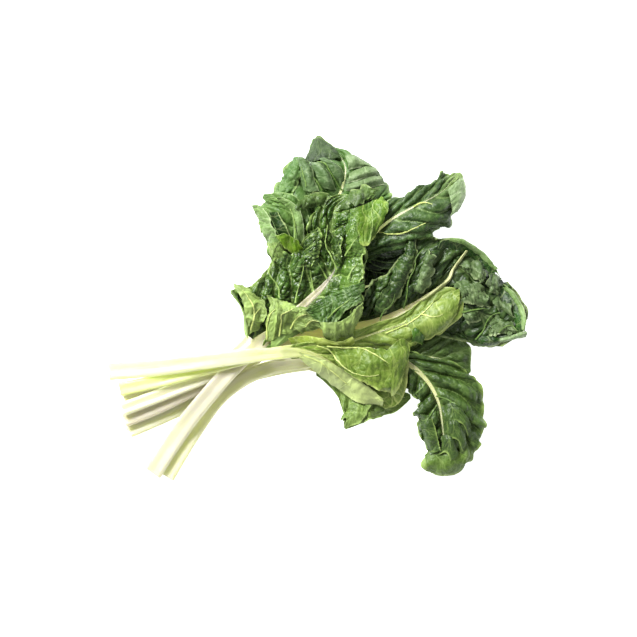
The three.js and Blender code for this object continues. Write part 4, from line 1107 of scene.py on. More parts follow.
# Folds of one leaf lie on those before them. A fold's noise goes by its number in the list.
FOLDS = [
    # painted shade: the curved tip is toned darker for the shade it lies in
    new_fold("leaf_top", "tip_fold_painted_shade", veins=3, tones="tip_fold_painted_shade", rows="""
        303 163 0, 318 159 1, 331 158 2, 341 157 1
        308 150 3, 318 149 5, 328 150 5, 337 152 3
        315 136 3, 319 134 4, 328 141 4, 336 148 3"""),
    new_fold("leaf_top", "left_cushion", veins=3, look="blistered", rows="""
        296 155 1, 289 164 1, 282 176 1, 276 188 0, 273 197 0
        299 158 6, 294 168 7, 289 179 7, 284 190 5, 280 200 2
        302 164 2, 301 174 2, 297 185 2, 292 194 2, 287 203 1"""),
    # the cushions' grey-green tones are partly painted sheen: the sky's reflection on their crests
    new_fold("leaf_top", "first_cushion", veins=2, tones="pale_sheen_fold", rows="""
        345 155 1, 352 154 1, 361 158 1, 371 164 0
        347 162 4, 354 160 6, 361 162 6, 370 166 3
        348 170 1, 355 168 1, 362 166 1, 369 165 0"""),
    new_fold("leaf_top", "second_cushion", veins=2, tones="pale_sheen_fold", rows="""
        349 173 0, 358 169 0, 366 166 0, 375 167 0
        348 178 4, 358 175 6, 368 172 6, 378 171 3
        347 183 1, 358 180 1, 369 176 1, 380 174 0"""),
    new_fold("leaf_top", "third_cushion", veins=2, tones="pale_sheen_fold", rows="""
        346 185 0, 357 182 0, 369 177 0, 381 175 0
        346 188 3, 358 186 5, 370 182 5, 383 178 3
        345 191 1, 358 190 1, 371 187 1, 384 184 0"""),
    # the puffs' grey tones are partly painted sheen, the sky's reflection on their crests
    new_fold("leaf_top", "left_puff", veins=2, tones="grey_fold", rows="""
        296 158 2, 300 168 1, 301 180 1, 303 190 0
        302 157 6, 307 168 6, 309 180 6, 310 192 3
        307 160 3, 312 170 2, 314 181 2, 318 190 1"""),
    new_fold("leaf_top", "middle_puff", veins=2, tones="grey_fold", rows="""
        310 162 2, 315 172 1, 319 182 1, 323 188 0
        317 162 6, 323 171 7, 326 181 6, 329 189 3
        323 165 3, 329 174 2, 333 183 2, 336 189 1"""),
    new_fold("leaf_top", "rib_puff", veins=2, tones="grey_fold", rows="""
        318 159 4, 326 165 2, 333 174 1, 340 184 0
        322 158 6, 332 164 7, 338 173 6, 342 182 2
        330 160 3, 339 166 2, 343 173 1, 344 180 0"""),
    # painted shade: these rims take near-black tones for the shade of the cavity below them
    new_fold("leaf_inner", "upper_rim", veins=2, tones="cavity_painted_shade_fold", rows="""
        364 247 1, 376 246 2, 390 245 2, 404 241 1
        365 249 5, 377 253 6, 390 254 6, 403 249 4
        366 250 6, 378 257 7, 390 257 7, 401 254 5"""),
    new_fold("leaf_inner", "middle_rim", veins=2, tones="cavity_painted_shade_fold", rows="""
        360 256 0, 371 260 0, 384 261 0, 398 257 0
        360 260 3, 371 265 4, 384 266 4, 396 262 3
        361 263 4, 371 269 5, 384 269 5, 394 266 4"""),
    new_fold("leaf_left", "base_flap", veins=5, look="pleated", tones="pale_fold", side="under", rows="""
        262 345 1, 271 340 2, 280 335 2, 290 333 2, 302 331 2, 313 329 2, 325 328 1
        265 334 4, 273 329 7, 281 326 4, 290 325 2, 302 327 6, 313 327 5, 325 328 2
        267 318 5, 275 314 9, 283 314 10, 292 317 4, 301 321 4, 312 323 7, 325 327 3
        269 305 6, 277 305 8, 285 308 9, 294 311 10, 302 314 9, 312 318 7, 325 325 4
        266 295 5, 275 298 7, 286 302 8, 297 306 9, 307 312 10, 317 319 7, 328 324 4"""),
    new_fold("leaf_left", "left_curl", veins=4, look="pleated", tones="pale_fold", side="under", rows="""
        233 285 2, 237 292 1, 242 300 1, 244 310 1, 245 321 1, 247 336 1
        240 285 4, 248 291 6, 254 300 7, 255 310 7, 254 320 6, 252 332 2
        246 288 4, 257 296 5, 265 304 5, 267 312 4, 263 320 3, 258 328 1"""),
    new_fold("leaf_left", "standing_edge", veins=9, look="blistered", tones="glossy_fold", rows="""
        350 209 3, 348 222 2, 346 236 1, 345 250 1, 343 258 1, 340 270 1, 338 282 1, 339 292 0
        354 208 6, 353 221 6, 352 235 7, 354 249 8, 352 258 6, 351 270 8, 349 282 6, 345 294 1
        359 210 6, 357 223 6, 359 235 5, 365 250 6, 360 258 5, 364 270 6, 361 282 6, 352 293 1"""),
    new_fold("leaf_left", "lower_lobe", veins=3, look="blistered", tones="deep_fold", rows="""
        305 309 3, 317 303 4, 329 294 6, 341 288 7, 352 285 7, 362 281 6
        309 313 3, 322 310 5, 333 304 7, 343 299 8, 353 295 8, 363 290 6
        314 318 2, 322 324 3, 331 325 4, 339 317 5, 348 309 6, 359 303 5"""),
    new_fold("leaf_left", "lower_ribbon", veins=4, look="pleated", tones="pale_fold", side="under", rows="""
        320 322 4, 332 321 6, 341 320 7, 348 316 8, 355 308 8, 362 303 7
        323 333 6, 333 331 8, 341 329 9, 348 326 9, 354 318 8, 361 308 6
        324 341 3, 332 340 4, 340 338 4, 349 339 3, 354 331 3, 359 315 2"""),
    new_fold("leaf_left", "top_flap", veins=3, look="soft", tones="bright_fold", rows="""
        350 210 6, 358 207 7, 366 205 7, 373 200 8, 381 197 8, 387 203 7
        356 219 4, 362 217 6, 368 216 6, 374 214 6, 380 213 7, 386 212 6
        358 231 2, 362 230 4, 367 229 5, 372 228 5, 377 226 5, 381 223 5
        361 246 1, 364 246 3, 367 245 4, 370 242 4, 373 238 4, 376 233 3"""),
    new_fold("leaf_left", "crown_left", veins=3, look="crumpled", tones="leaf_middle_right", rows="""
        296 210 0, 306 207 1, 316 206 1, 326 206 0
        299 202 1, 307 199 3, 317 198 3, 328 199 1
        303 197 0, 311 193 1, 320 192 1, 331 195 0"""),
    new_fold("leaf_left", "crown_right", veins=3, look="crumpled", tones="leaf_middle_right", rows="""
        340 209 0, 350 206 1, 361 203 1, 372 199 0
        343 200 1, 352 197 4, 364 194 3, 376 192 1
        347 193 0, 354 190 1, 366 187 1, 380 187 0"""),
    new_fold("leaf_left", "left_ridge", veins=3, look="blistered", rows="""
        304 240 1, 303 250 1, 300 258 1, 296 266 0
        311 232 6, 312 244 8, 309 254 7, 303 266 3
        318 226 3, 321 240 3, 318 254 2, 310 268 1"""),
    new_fold("leaf_upper_left", "left_band", veins=3, look="pleated", tones="bloom_fold", rows="""
        252 203 5, 256 213 3, 260 223 2, 264 236 1, 268 248 1, 271 256 0
        257 205 7, 262 214 6, 266 224 6, 270 235 6, 274 245 5, 277 254 2
        262 207 7, 268 215 7, 272 225 7, 276 234 7, 280 241 5, 283 250 2"""),
    # painted shade: the pocket takes margin_fold's near-black greens for the shade inside it, on a real
    # trough
    new_fold("leaf_upper_left", "pocket", veins=2, tones="margin_fold", rows="""
        269 212 3, 272 222 2, 276 231 2, 280 237 1
        273 212 1, 277 222 0, 281 231 0, 285 238 0
        277 212 3, 282 220 3, 287 229 3, 290 236 2"""),
    new_fold("leaf_upper_left", "right_fold", veins=2, tones="bloom_fold", rows="""
        276 198 2, 285 205 2, 291 213 2, 293 225 1, 294 240 0
        278 197 6, 289 203 7, 296 212 8, 298 225 7, 298 240 4
        281 197 6, 292 202 7, 300 212 7, 303 226 6, 303 243 3"""),
    new_fold("leaf_upper_left", "lower_web", veins=2, look="soft", tones="pale_fold", rows="""
        266 243 1, 274 243 2, 281 245 2
        268 251 1, 277 252 3, 285 254 3
        271 259 0, 279 261 1, 289 262 1"""),
    new_fold("leaf_upper_left", "bright_lobe", veins=2, look="soft", tones="lime_fold", rows="""
        275 235 5, 283 233 8, 291 236 8, 299 243 7, 305 251 5
        278 240 5, 284 240 7, 291 244 7, 297 249 6, 304 254 4
        281 244 2, 286 248 3, 291 252 3, 297 256 3, 303 257 2"""),
    new_fold("leaf_right", "inner_curl", veins=5, look="blistered", rows="""
        404 238 7, 404 252 7, 398 259 7, 393 269 7, 388 281 6, 382 293 4, 374 308 2
        410 238 9, 410 254 9, 405 263 9, 400 274 9, 395 285 8, 387 297 5, 378 311 2
        415 240 5, 415 256 4, 411 267 4, 407 278 3, 402 290 2, 393 302 1, 382 314 1"""),
    # the ridge's pale grey tones are partly painted sheen, the highlights on its crumples
    new_fold("leaf_right", "left_ridge", veins=3, look="crumpled", tones="grey_green_sheen_fold", rows="""
        424 248 2, 421 262 1, 417 276 1, 412 292 0
        428 250 5, 427 264 7, 422 277 6, 416 293 2
        432 252 2, 433 265 1, 430 279 1, 421 295 0"""),
    new_fold("leaf_right", "upper_margin", veins=3, tones="margin_fold", rows="""
        437 249 1, 450 248 1, 463 251 1, 473 259 1, 482 266 1, 491 273 1
        438 244 4, 450 243 5, 465 247 5, 477 255 5, 487 263 5, 496 272 4
        439 241 7, 450 239 8, 467 244 9, 480 252 9, 491 262 8, 500 275 6"""),
    new_fold("leaf_right", "lower_margin", veins=3, tones="margin_fold", rows="""
        498 293 1, 505 304 1, 511 315 1, 514 324 1, 512 333 1
        502 287 5, 510 298 5, 517 310 6, 520 321 5, 518 332 4
        503 283 9, 513 294 11, 522 307 11, 524 320 10, 522 331 7"""),
    new_fold("leaf_right", "upper_rim", veins=2, tones="bloom_fold", rows="""
        448 241 0, 458 243 0, 470 249 0, 482 258 0, 494 269 0
        448 239 2, 459 241 2, 471 247 2, 484 256 2, 496 269 2
        449 238 0, 460 239 0, 473 245 0, 486 255 0, 498 268 0"""),
    new_fold("leaf_right", "lower_rim", veins=2, tones="bloom_fold", rows="""
        503 287 0, 511 297 0, 517 308 0, 520 319 0, 520 329 0
        505 286 2, 513 296 2, 519 307 2, 522 319 2, 522 330 2
        506 285 0, 515 295 0, 521 306 0, 524 319 0, 523 331 0"""),
    # the cushions' grey tones are partly painted sheen, the highlights on their domes
    new_fold("leaf_right", "first_cushion", veins=2, look="dusty", tones="grey_green_sheen_fold", rows="""
        459 263 0, 467 259 0, 478 264 0, 488 273 0
        461 268 4, 469 267 6, 478 272 6, 486 279 3
        463 273 1, 470 277 1, 477 281 1, 483 285 0"""),
    new_fold("leaf_right", "second_cushion", veins=2, look="dusty", tones="grey_green_sheen_fold", rows="""
        451 284 0, 463 281 0, 476 284 0, 487 294 0
        457 291 4, 466 290 6, 476 293 6, 487 300 3
        460 301 1, 468 303 1, 477 305 1, 487 307 0"""),
    new_fold("leaf_right", "third_cushion", veins=2, look="dusty", tones="grey_green_sheen_fold", rows="""
        461 312 0, 468 309 0, 477 311 0
        463 317 4, 470 315 6, 478 316 3
        465 322 1, 471 323 1, 477 321 0"""),
    new_fold("leaf_right", "fourth_cushion", veins=2, look="dusty", tones="grey_green_sheen_fold", rows="""
        489 275 0, 494 272 0, 499 279 0
        487 284 4, 493 283 5, 500 288 3
        487 292 1, 493 293 1, 499 295 0"""),
    new_fold("leaf_right", "fifth_cushion", veins=2, look="dusty", tones="grey_green_sheen_fold", rows="""
        492 299 0, 500 299 0, 507 304 0
        494 304 4, 502 305 5, 510 311 3
        496 308 0, 503 311 0, 512 315 0"""),
    new_fold("leaf_right", "sixth_cushion", veins=2, look="dusty", tones="grey_green_sheen_fold", rows="""
        490 322 0, 498 315 0, 507 322 0, 515 330 0
        489 328 4, 497 323 6, 505 327 6, 512 332 3
        488 335 1, 495 334 1, 503 334 1, 509 335 0"""),
    new_fold("leaf_right", "bottom_puff", veins=2, tones="margin_fold", rows="""
        474 338 0, 482 336 0, 491 336 0, 500 337 0
        477 342 3, 484 341 5, 492 341 5, 501 340 3
        480 345 1, 486 346 2, 493 346 2, 501 342 1"""),
    new_fold("leaf_right", "end_rib", veins=1, look="rib", tones="stem_fold", rows="""
        420 299 0, 428 293 0, 440 284 0, 447 277 0, 452 267 0, 458 259 0, 465 250 0
        421 300 1, 430 294 3, 441 285 4, 449 278 3, 453 268 2, 459 259 2, 466 250 1
        422 301 0, 432 295 0, 442 287 0, 450 279 0, 454 269 0, 460 260 0, 467 251 0"""),
    new_fold("leaf_right", "lower_edge", veins=3, tones="frost_fold", rows="""
        499 338 0, 508 336 0, 516 333 1, 524 331 1
        499 340 2, 508 338 3, 517 335 3, 525 333 3
        499 342 0, 508 340 0, 517 338 0, 524 337 0"""),
    new_fold("leaf_upper_right", "tip_curl", veins=3, tones="frost_fold", rows="""
        447 190 2, 449 199 1, 451 208 1, 449 216 0
        455 182 5, 458 192 5, 458 203 5, 454 213 2
        463 176 4, 465 187 3, 463 200 2, 457 212 1"""),
    new_fold("leaf_lower_right", "toe", veins=3, tones="toe_fold", rows="""
        425 455 0, 434 450 0, 444 449 0, 455 450 0, 467 456 0
        427 465 3, 435 464 5, 445 464 6, 455 464 5, 465 465 3
        431 473 1, 439 476 2, 447 477 2, 455 475 2, 462 471 1"""),
    new_fold("leaf_lower_right", "first_scale", veins=2, rows="""
        441 408 0, 448 402 1, 457 404 1, 464 412 0
        444 416 4, 451 410 5, 461 413 5, 470 424 3
        444 428 1, 452 421 3, 462 424 3, 468 436 1"""),
    new_fold("leaf_lower_right", "second_scale", veins=2, rows="""
        443 424 0, 449 419 1, 457 421 1, 463 430 0
        445 433 4, 451 428 6, 459 431 6, 466 443 3
        444 443 1, 451 438 3, 458 441 3, 462 451 1"""),
    new_fold("leaf_lower_right", "third_scale", veins=2, rows="""
        440 437 0, 445 434 1, 451 436 1, 456 444 0
        441 446 4, 446 442 6, 452 446 6, 457 455 3
        438 455 1, 443 452 3, 448 455 3, 450 461 1"""),
    new_fold("leaf_lower_right", "left_scale", veins=2, rows="""
        420 414 0, 421 428 1, 425 442 1, 430 455 0
        426 414 3, 428 428 5, 431 441 4, 435 452 2
        432 418 1, 435 430 3, 438 441 2, 440 450 1"""),
    new_fold("leaf_young_back", "web", veins=3, tones="waist_fold", rows="""
        288 338 1, 302 335 2, 320 337 2, 338 342 1, 352 336 1
        290 342 2, 304 340 3, 321 341 3, 339 344 2, 353 339 2
        292 347 0, 308 346 1, 324 346 1, 340 348 0, 354 343 0"""),
    new_fold("leaf_lower", "tip_curl", veins=3, look="soft", rows="""
        340 420 1, 350 404 1, 352 392 1
        346 418 5, 358 408 6, 360 398 3
        344 430 2, 362 418 3, 372 404 1"""),
    new_fold("leaf_young_back", "end_lobe", veins=3, tones="leaf_young_back", rows="""
        405 318 0, 420 309 0, 438 300 0, 458 288 1
        408 327 3, 423 319 4, 440 309 4, 459 297 2
        413 337 3, 428 332 4, 443 322 4, 457 307 3
        416 341 1, 431 337 1, 445 327 1, 455 313 1"""),
    new_fold("leaf_young_front", "under_strip", veins=3, side="under", rows="""
        296 351 1, 318 357 5, 336 365 7, 352 375 8, 367 386 7, 383 398 4
        297 354 1, 318 362 5, 333 373 7, 347 383 8, 361 393 7, 383 401 4
        298 357 0, 314 370 2, 327 381 3, 341 391 3, 358 402 2, 382 405 1"""),
    new_fold("leaf_young_front", "big_lobe", veins=2, look="soft", tones="lobe_fold", rows="""
        322 345 1, 340 346 2, 358 347 3, 376 348 3, 392 350 3
        330 351 3, 345 357 5, 362 360 6, 378 363 6, 394 366 5
        335 360 5, 347 368 8, 362 373 9, 378 379 9, 394 382 7
        337 363 3, 348 373 6, 364 382 7, 378 390 7, 392 393 5"""),
    new_fold("leaf_young_front", "dark_curl", veins=2, tones="curl_fold", rows="""
        411 330 1, 414 327 2, 419 330 2, 424 337 1
        411 336 3, 415 334 4, 419 337 4, 422 341 2
        410 343 1, 414 342 2, 417 342 2, 421 344 1"""),
    new_fold("leaf_young_front", "end_lobe", veins=3, tones="lobe_fold", rows="""
        382 355 4, 391 345 7, 402 338 9, 409 343 8
        386 362 4, 395 354 7, 403 350 9, 409 352 8
        390 375 4, 395 370 6, 402 365 8, 406 363 7
        391 396 2, 396 391 4, 401 380 5, 404 368 6"""),
    new_fold("leaf_left", "middle_ridge", veins=2, look="blistered", rows="""
        332 234 0, 332 245 0, 333 256 0, 336 264 0
        337 234 3, 336 245 4, 337 256 4, 339 265 2
        341 236 1, 341 246 1, 341 256 1, 341 265 0"""),
]
for number, each in enumerate(FOLDS):
    each["number"] = number

# Raised veins on top of a leaf and its folds: the leaf, the name of the piece, its tones, and a line
# for each vein with its points in the photograph, from the midrib outwards.
VEINS = [
    ("leaf_top", "veins", "vein_fold", """
        341 190, 330 172, 325 164, 316 161
        322 190, 318 184, 313 177
        306 186, 303 176, 301 166"""),
    # these rims' veins take the grey-green tones with painted sheen
    ("leaf_inner", "rims", "grey_green_sheen_fold", """
        364 248, 371 257, 384 262, 399 261
        366 258, 374 265, 386 268, 397 266
        362 265, 372 271, 384 273"""),
    ("leaf_upper_left", "veins", "pale_vein_fold", """
        294 242, 295 230, 294 221, 290 209
        271 257, 274 249, 279 241
        283 256, 281 249, 276 242"""),
    ("leaf_lower_right", "veins", "vein_fold", """
        412 369, 421 372, 432 377
        425 382, 420 389, 414 394
        436 396, 447 399, 460 406
        437 404, 431 413, 425 421"""),
    ("leaf_right", "veins", "vein_fold", """
        403 308, 406 295, 407 282, 413 269, 415 258, 422 249
        379 320, 383 311, 391 304, 394 294
        458 312, 470 310, 484 308
        475 339, 482 331, 486 322, 491 315, 499 312
        498 332, 504 326, 510 325, 516 331"""),
    ("leaf_upper_right", "veins", "rib_fold", """
        378 232, 390 234, 402 233, 414 228, 424 223
        412 207, 422 203, 431 204"""),
    ("leaf_left", "veins", "pale_vein_fold", """
        295 303, 297 290, 301 277, 304 265
        313 289, 311 280, 310 270
        336 269, 331 257, 325 244, 327 225
        327 278, 322 270, 317 262
        279 297, 278 287, 271 277, 268 270
        347 280, 351 270, 357 263
        344 256, 351 245, 356 238
        368 243, 371 226, 370 208
        327 318, 337 308, 350 299"""),
    ("leaf_left", "pale_veins", "rib_fold", """
        266 339, 267 325, 269 316, 275 309
        279 336, 281 322, 282 314, 293 308
        290 328, 297 317, 306 314
        305 326, 311 320, 318 321
        251 330, 254 315, 252 303, 243 290
        254 315, 260 308"""),
    ("leaf_young_back", "veins", "rib_fold", """
        385 333, 409 322, 426 309, 434 299
        420 314, 432 316, 442 314"""),
    ("leaf_young_front", "veins", "rib_fold", """
        316 345, 328 349, 337 360, 346 368, 355 373, 366 375, 378 374
        326 346, 346 347, 361 348, 373 353, 382 359, 388 363
        304 354, 320 362, 334 373, 348 384"""),
]
VEIN_HALF = 0.65  # mm, half the width of a vein at its start
VEIN_HEIGHT = 0.9
VEIN_TAPER = 0.3  # of its size, left at its end


def curve_through(points, count):
    """count + 1 points on a smooth curve through points, on the first axis."""
    ahead = np.concatenate([2 * points[:1] - points[1:2], points, 2 * points[-1:] - points[-2:-1]])
    u = np.linspace(0, len(points) - 1, count + 1)
    i = np.minimum(u.astype(int), len(points) - 2)
    f = (u - i).reshape(-1, *[1] * (points.ndim - 1))
    return through(*(ahead[i + k] for k in range(4)), f)


def longest(points):
    """The length of the longest row of points."""
    return np.linalg.norm(np.diff(points, axis=1), axis=2).sum(axis=1).max()


def ground_map(surfaces):
    """Height of the top of the surfaces in each map cell."""
    ground = np.zeros(MAP_NX * MAP_NY)
    for points in surfaces:
        x, y, z = points.reshape(-1, 3).T
        np.maximum.at(ground, map_cell(x, y), z)
    return ground.reshape(MAP_NY, MAP_NX)


def fold_waves(grid, seed):
    """How a fold's borders wander and rise, most where they are free, with slow dents inside."""
    rows, columns = grid.shape[:2]
    a = np.linspace(0, 1, rows)[:, None]
    b = np.linspace(0, 1, columns)[None]
    border = np.maximum(smooth(np.abs(2 * a - 1) * 2 - 1), smooth(np.abs(2 * b - 1) * 2 - 1))
    x, y = grid[..., 0], grid[..., 1]
    sway, swing = (
        noise(x / 6 + seed + k, y / 6 + 3 * k) + 0.5 * noise(x / 3 + k, y / 3 + seed) for k in (1, 2)
    )
    dents = WAVE_HEIGHT * noise(x / 11, y / 11 + seed)
    rise = WAVE_HEIGHT * noise(x / 7 + seed, y / 7) * border + dents
    return np.stack([WAVE_HEIGHT * border * sway, WAVE_HEIGHT * border * swing, rise], axis=-1)


def fold_grid(rows, ground, wander, seed):
    """A fold's grid before its fine relief, and its length and width."""
    control = rows.copy()
    control[..., 0] -= ORIGIN_PIXEL[0]
    control[..., 1] = ORIGIN_PIXEL[1] - control[..., 1]
    length, width = longest(control), longest(control.transpose(1, 0, 2))
    along = max(int(length / FOLD_STEP), 4)
    across = max(int(width / FOLD_STEP), 4)
    grid = curve_through(control, across)
    grid = curve_through(grid.transpose(1, 0, 2), along)
    grid = grid + wander * fold_waves(grid, seed)
    rise = grid[..., 2].copy()
    grid[..., 2] = rise + height_at(blur(spread(ground, FOLD_SLOPE), 2), grid)
    return grid, length, width


def fold_surface(fold, ground):
    """A fold's middle surface, as fine_blade gives a blade's."""
    puff, blister, wrinkle, cell, wander = FOLD_LOOKS[fold["look"]]
    seed = FOLD_SEED * fold["number"]
    grid, length, width = fold_grid(fold["rows"], ground, wander, seed)
    rows, columns = grid.shape[:2]
    a = np.linspace(0, 1, rows)[:, None] + np.zeros(columns)
    b = np.linspace(0, 1, columns)[None] + np.zeros((rows, 1))
    x, y = a * length, b * width
    v = fold["veins"] * a + 0.4 * noise(y / 14 + seed, a * 3 + seed)
    spacing = length / fold["veins"]
    to_line = np.abs(v - np.round(v)) * spacing
    edge = cell_edge(x / cell + seed, y / cell + 0.3 * noise(x / 7, y / 7))
    swell = puff * (np.abs(np.sin(math.pi * v)) ** 0.6 - 0.6)
    if fold["side"] == "under":
        swell = -swell
    blisters = blister * (smooth(edge / CELL_SLOPE) - 0.5) * smooth(to_line / 2)
    wrinkles = wrinkle * crumpling(x, y, seed)
    normals = grid_normals(grid)
    normals *= np.sign(normals[..., 2:] + 1e-9)
    grid = grid + normals * (swell + blisters + wrinkles)[..., None]
    grid[..., 2] = np.maximum(grid[..., 2], height_at(ground, grid) + FOLD_CLEAR)
    # detail is low in grooves and in the hollows between puffs, where the upper material paints shade
    detail = (blisters + wrinkles) / (blister + wrinkle) + 0.3 * swell / max(puff, 1)
    return {
        "grid": grid, "x": x, "y": y, "v": v, "s": 0.3 + 0.7 * b, "detail": detail,
        "spacing": spacing + 0 * v,
    }


def fold_faces(surface):
    """Faces of a fold's grid, turned so that they face upwards."""
    faces = grid_faces(np.arange(surface["v"].size).reshape(surface["v"].shape))
    if vertex_normals(surface["grid"].reshape(-1, 3), faces)[:, 2].mean() < 0:
        faces = faces[:, ::-1]
    return faces


def vein_rows(line):
    """The rows of a fold that is a raised vein along a line of points."""
    along = np.gradient(line, axis=0)
    across = unit(np.stack([-along[:, 1], along[:, 0]], axis=1))
    size = np.linspace(1, VEIN_TAPER, len(line))
    rows = []
    for side in (-1, 0, 1):
        place = line + side * VEIN_HALF * size[:, None] * across
        height = VEIN_HEIGHT * size * (side == 0)
        rows.append(np.column_stack([place, height]))
    return np.array(rows)


def make_veins(leaf, name, lines, ground, materials):
    """Raised veins of one kind on a leaf, as one piece."""
    surfaces, faces, count = [], [], 0
    for number, line in enumerate(number_rows(lines)):
        fold = {"rows": vein_rows(line), "side": "upper", "veins": 1, "look": "vein", "number": number}
        surface = fold_surface(fold, ground)
        surfaces.append(surface)
        faces.append(fold_faces(surface) + count)
        count += surface["v"].size
    whole = {key: np.concatenate([each[key].reshape(-1) for each in surfaces]) for key in surfaces[0]}
    return make_sheet(f"{leaf}_{name}_fine", whole, np.concatenate(faces), materials)


# ---- Materials ----------------------------------------------------------------------------------


class Shader:
    """A material's nodes, made and joined by short calls."""

    def __init__(self, name):
        self.material = bpy.data.materials.new(name)
        self.material.use_nodes = True
        self.tree = self.material.node_tree
        self.tree.nodes.clear()

    def put(self, socket, value):
        if isinstance(value, bpy.types.NodeSocket):
            self.tree.links.new(value, socket)
        else:
            socket.default_value = value

    def node(self, kind, inputs, **settings):
        node = self.tree.nodes.new(kind)
        for key, value in settings.items():
            setattr(node, key, value)
        for key, value in inputs.items():
            self.put(node.inputs[key], value)
        return node

    def math(self, operation, *values):
        return self.node("ShaderNodeMath", dict(enumerate(values)), operation=operation).outputs[0]

    def vector(self, operation, *values):
        inputs = dict(enumerate(values))
        return self.node("ShaderNodeVectorMath", inputs, operation=operation).outputs[0]

    def times(self, a, b):
        return self.math("MULTIPLY", a, b)

    def scaled(self, value, factor, offset):
        """The value times a factor, plus an offset."""
        return self.math("MULTIPLY_ADD", value, factor, offset)

    def apart(self, a, b):
        """How far a and b are from each other."""
        return self.math("ABSOLUTE", self.math("SUBTRACT", a, b))

    def ramp(self, value, low, high):
        """0 at low and below, 1 at high and above, smooth between."""
        inputs = {"Value": value, "From Min": low, "From Max": high}
        return self.node("ShaderNodeMapRange", inputs, interpolation_type="SMOOTHSTEP").outputs[0]

    def fall(self, value, low, high):
        """1 at low and below, 0 at high and above, smooth between."""
        return self.math("SUBTRACT", 1.0, self.ramp(value, low, high))

    def mix(self, share, a, b):
        inputs = {0: share, 6: a, 7: b}
        return self.node("ShaderNodeMix", inputs, data_type="RGBA").outputs[2]

    def tint(self, colour, other, where, strength):
        """The colour turned to another by where, 0 to 1, times strength."""
        return self.mix(self.times(where, strength), colour, other)

    def attribute(self, name):
        return self.node("ShaderNodeAttribute", {}, attribute_name=name).outputs["Vector"]

    def parts(self, vector):
        return self.node("ShaderNodeSeparateXYZ", {0: vector}).outputs

    def noise(self, place, size, detail=2.0, output=0):
        """Noise from 0 to 1 with features of about that size. Output 1 has it three times over, as
        a vector."""
        inputs = {"Vector": place, "Scale": 1 / size, "Detail": detail}
        return self.node("ShaderNodeTexNoise", inputs).outputs[output]

    def cells(self, place, size, randomness=0.9):
        """Distance to the border between cells of that size, in shares of it."""
        inputs = {"Vector": place, "Scale": 1 / size, "Randomness": randomness}
        return self.node("ShaderNodeTexVoronoi", inputs, feature="DISTANCE_TO_EDGE").outputs[0]

    def bent(self, place, size=7.0, amount=3.0):
        """The place moved about by noise of that size."""
        wave = self.noise(place, size, detail=1.0, output=1)
        return self.vector("MULTIPLY_ADD", wave, (amount, amount, 0), place)

    def bump(self, height, depth):
        """A normal from a height of 0 to 1 that stands for depth in millimetres."""
        inputs = {"Height": height, "Distance": depth * MM, "Strength": 1.0}
        return self.node("ShaderNodeBump", inputs).outputs[0]

    def finish(self, **inputs):
        surface = self.node("ShaderNodeBsdfPrincipled", {})
        for key, value in inputs.items():
            self.put(surface.inputs[key.replace("_", " ")], value)
        self.node("ShaderNodeOutputMaterial", {"Surface": surface.outputs[0]})
        return self.material


def linear(value):
    return value / 12.92 if value <= 0.04045 else ((value + 0.055) / 1.055) ** 2.4


def srgb(colour, factor=1):
    """A colour given as on screen, 0 to 255, times a factor, as the shader counts it."""
    return (*(linear(value * factor / 255) for value in colour), 1)


def vein_lines(shader, width):
    """1 on a side vein and its forks, 0 off them. Width is in millimetres at the midrib."""
    phase, share, spacing = shader.parts(shader.attribute("lamina"))
    shifted = shader.math("FRACT", shader.math("ADD", phase, 0.5))
    from_vein = shader.apart(shifted, 0.5)
    fork = shader.times(shader.ramp(share, FORK_START, 1.0), FORK_SPREAD)
    from_fork = shader.apart(from_vein, fork)
    nearest = shader.times(shader.math("MINIMUM", from_vein, from_fork), spacing)
    thin = shader.scaled(share, -0.75 * width, width)
    return shader.fall(shader.math("DIVIDE", nearest, thin), 0.25, 1.0), share


def leaf_upper(name, deep, mid, bright, vein, gloss, net, vein_share, tip):
    """The upper side: three greens, a net of small veins and the side veins, with a paler rim, and shade
    painted into the grooves of the relief.
    """
    shader = Shader(name)
    flat = shader.attribute("flat")
    # flat's third value is the relief's detail, read below for the painted shade
    _, along, detail = shader.parts(flat)
    place = shader.bent(shader.vector("MULTIPLY", flat, (1.0, 1.0, 0.0)))
    lines, share = vein_lines(shader, 1.4)
    veins = shader.cells(place, net)
    fine = shader.cells(place, net * 0.4)
    blotches = shader.noise(place, 9.0)
    colour = shader.mix(shader.ramp(shader.noise(place, 24.0), 0.35, 0.65), deep, mid)
    colour = shader.tint(colour, bright, shader.ramp(blotches, 0.45, 0.8), 0.6)
    # painted shade: where the relief's detail is low, in grooves and between puffs, the colour turns to the
    # deep green
    colour = shader.tint(colour, deep, shader.ramp(detail, 0.25, -0.35), 0.55)
    if tip:
        colour = shader.tint(colour, vein, shader.ramp(along, tip - 25, tip), 0.6)
    colour = shader.tint(colour, vein, shader.fall(share, 0.0, 0.16), 0.35 * vein_share)
    colour = shader.tint(colour, vein, shader.fall(veins, 0.01, 0.08), 0.3 * vein_share)
    colour = shader.tint(colour, vein, shader.fall(fine, 0.02, 0.12), 0.1 * vein_share)
    fading = shader.scaled(share, -0.6 * vein_share, vein_share)
    colour = shader.tint(colour, vein, lines, fading)
    colour = shader.tint(colour, vein, shader.ramp(share, 0.9, 1.0), 0.75)
    height = shader.times(shader.ramp(fine, 0.0, 0.3), 0.25)
    height = shader.scaled(shader.ramp(veins, 0.0, 0.35), 0.6, height)
    height = shader.scaled(shader.noise(place, 1.6), 0.3, height)
    return shader.finish(
        Base_Color=colour, Roughness=shader.scaled(blotches, 0.15, 0.52 - 0.3 * gloss),
        Normal=shader.bump(height, 0.5), Specular_IOR_Level=0.2 + 0.25 * gloss,
    )


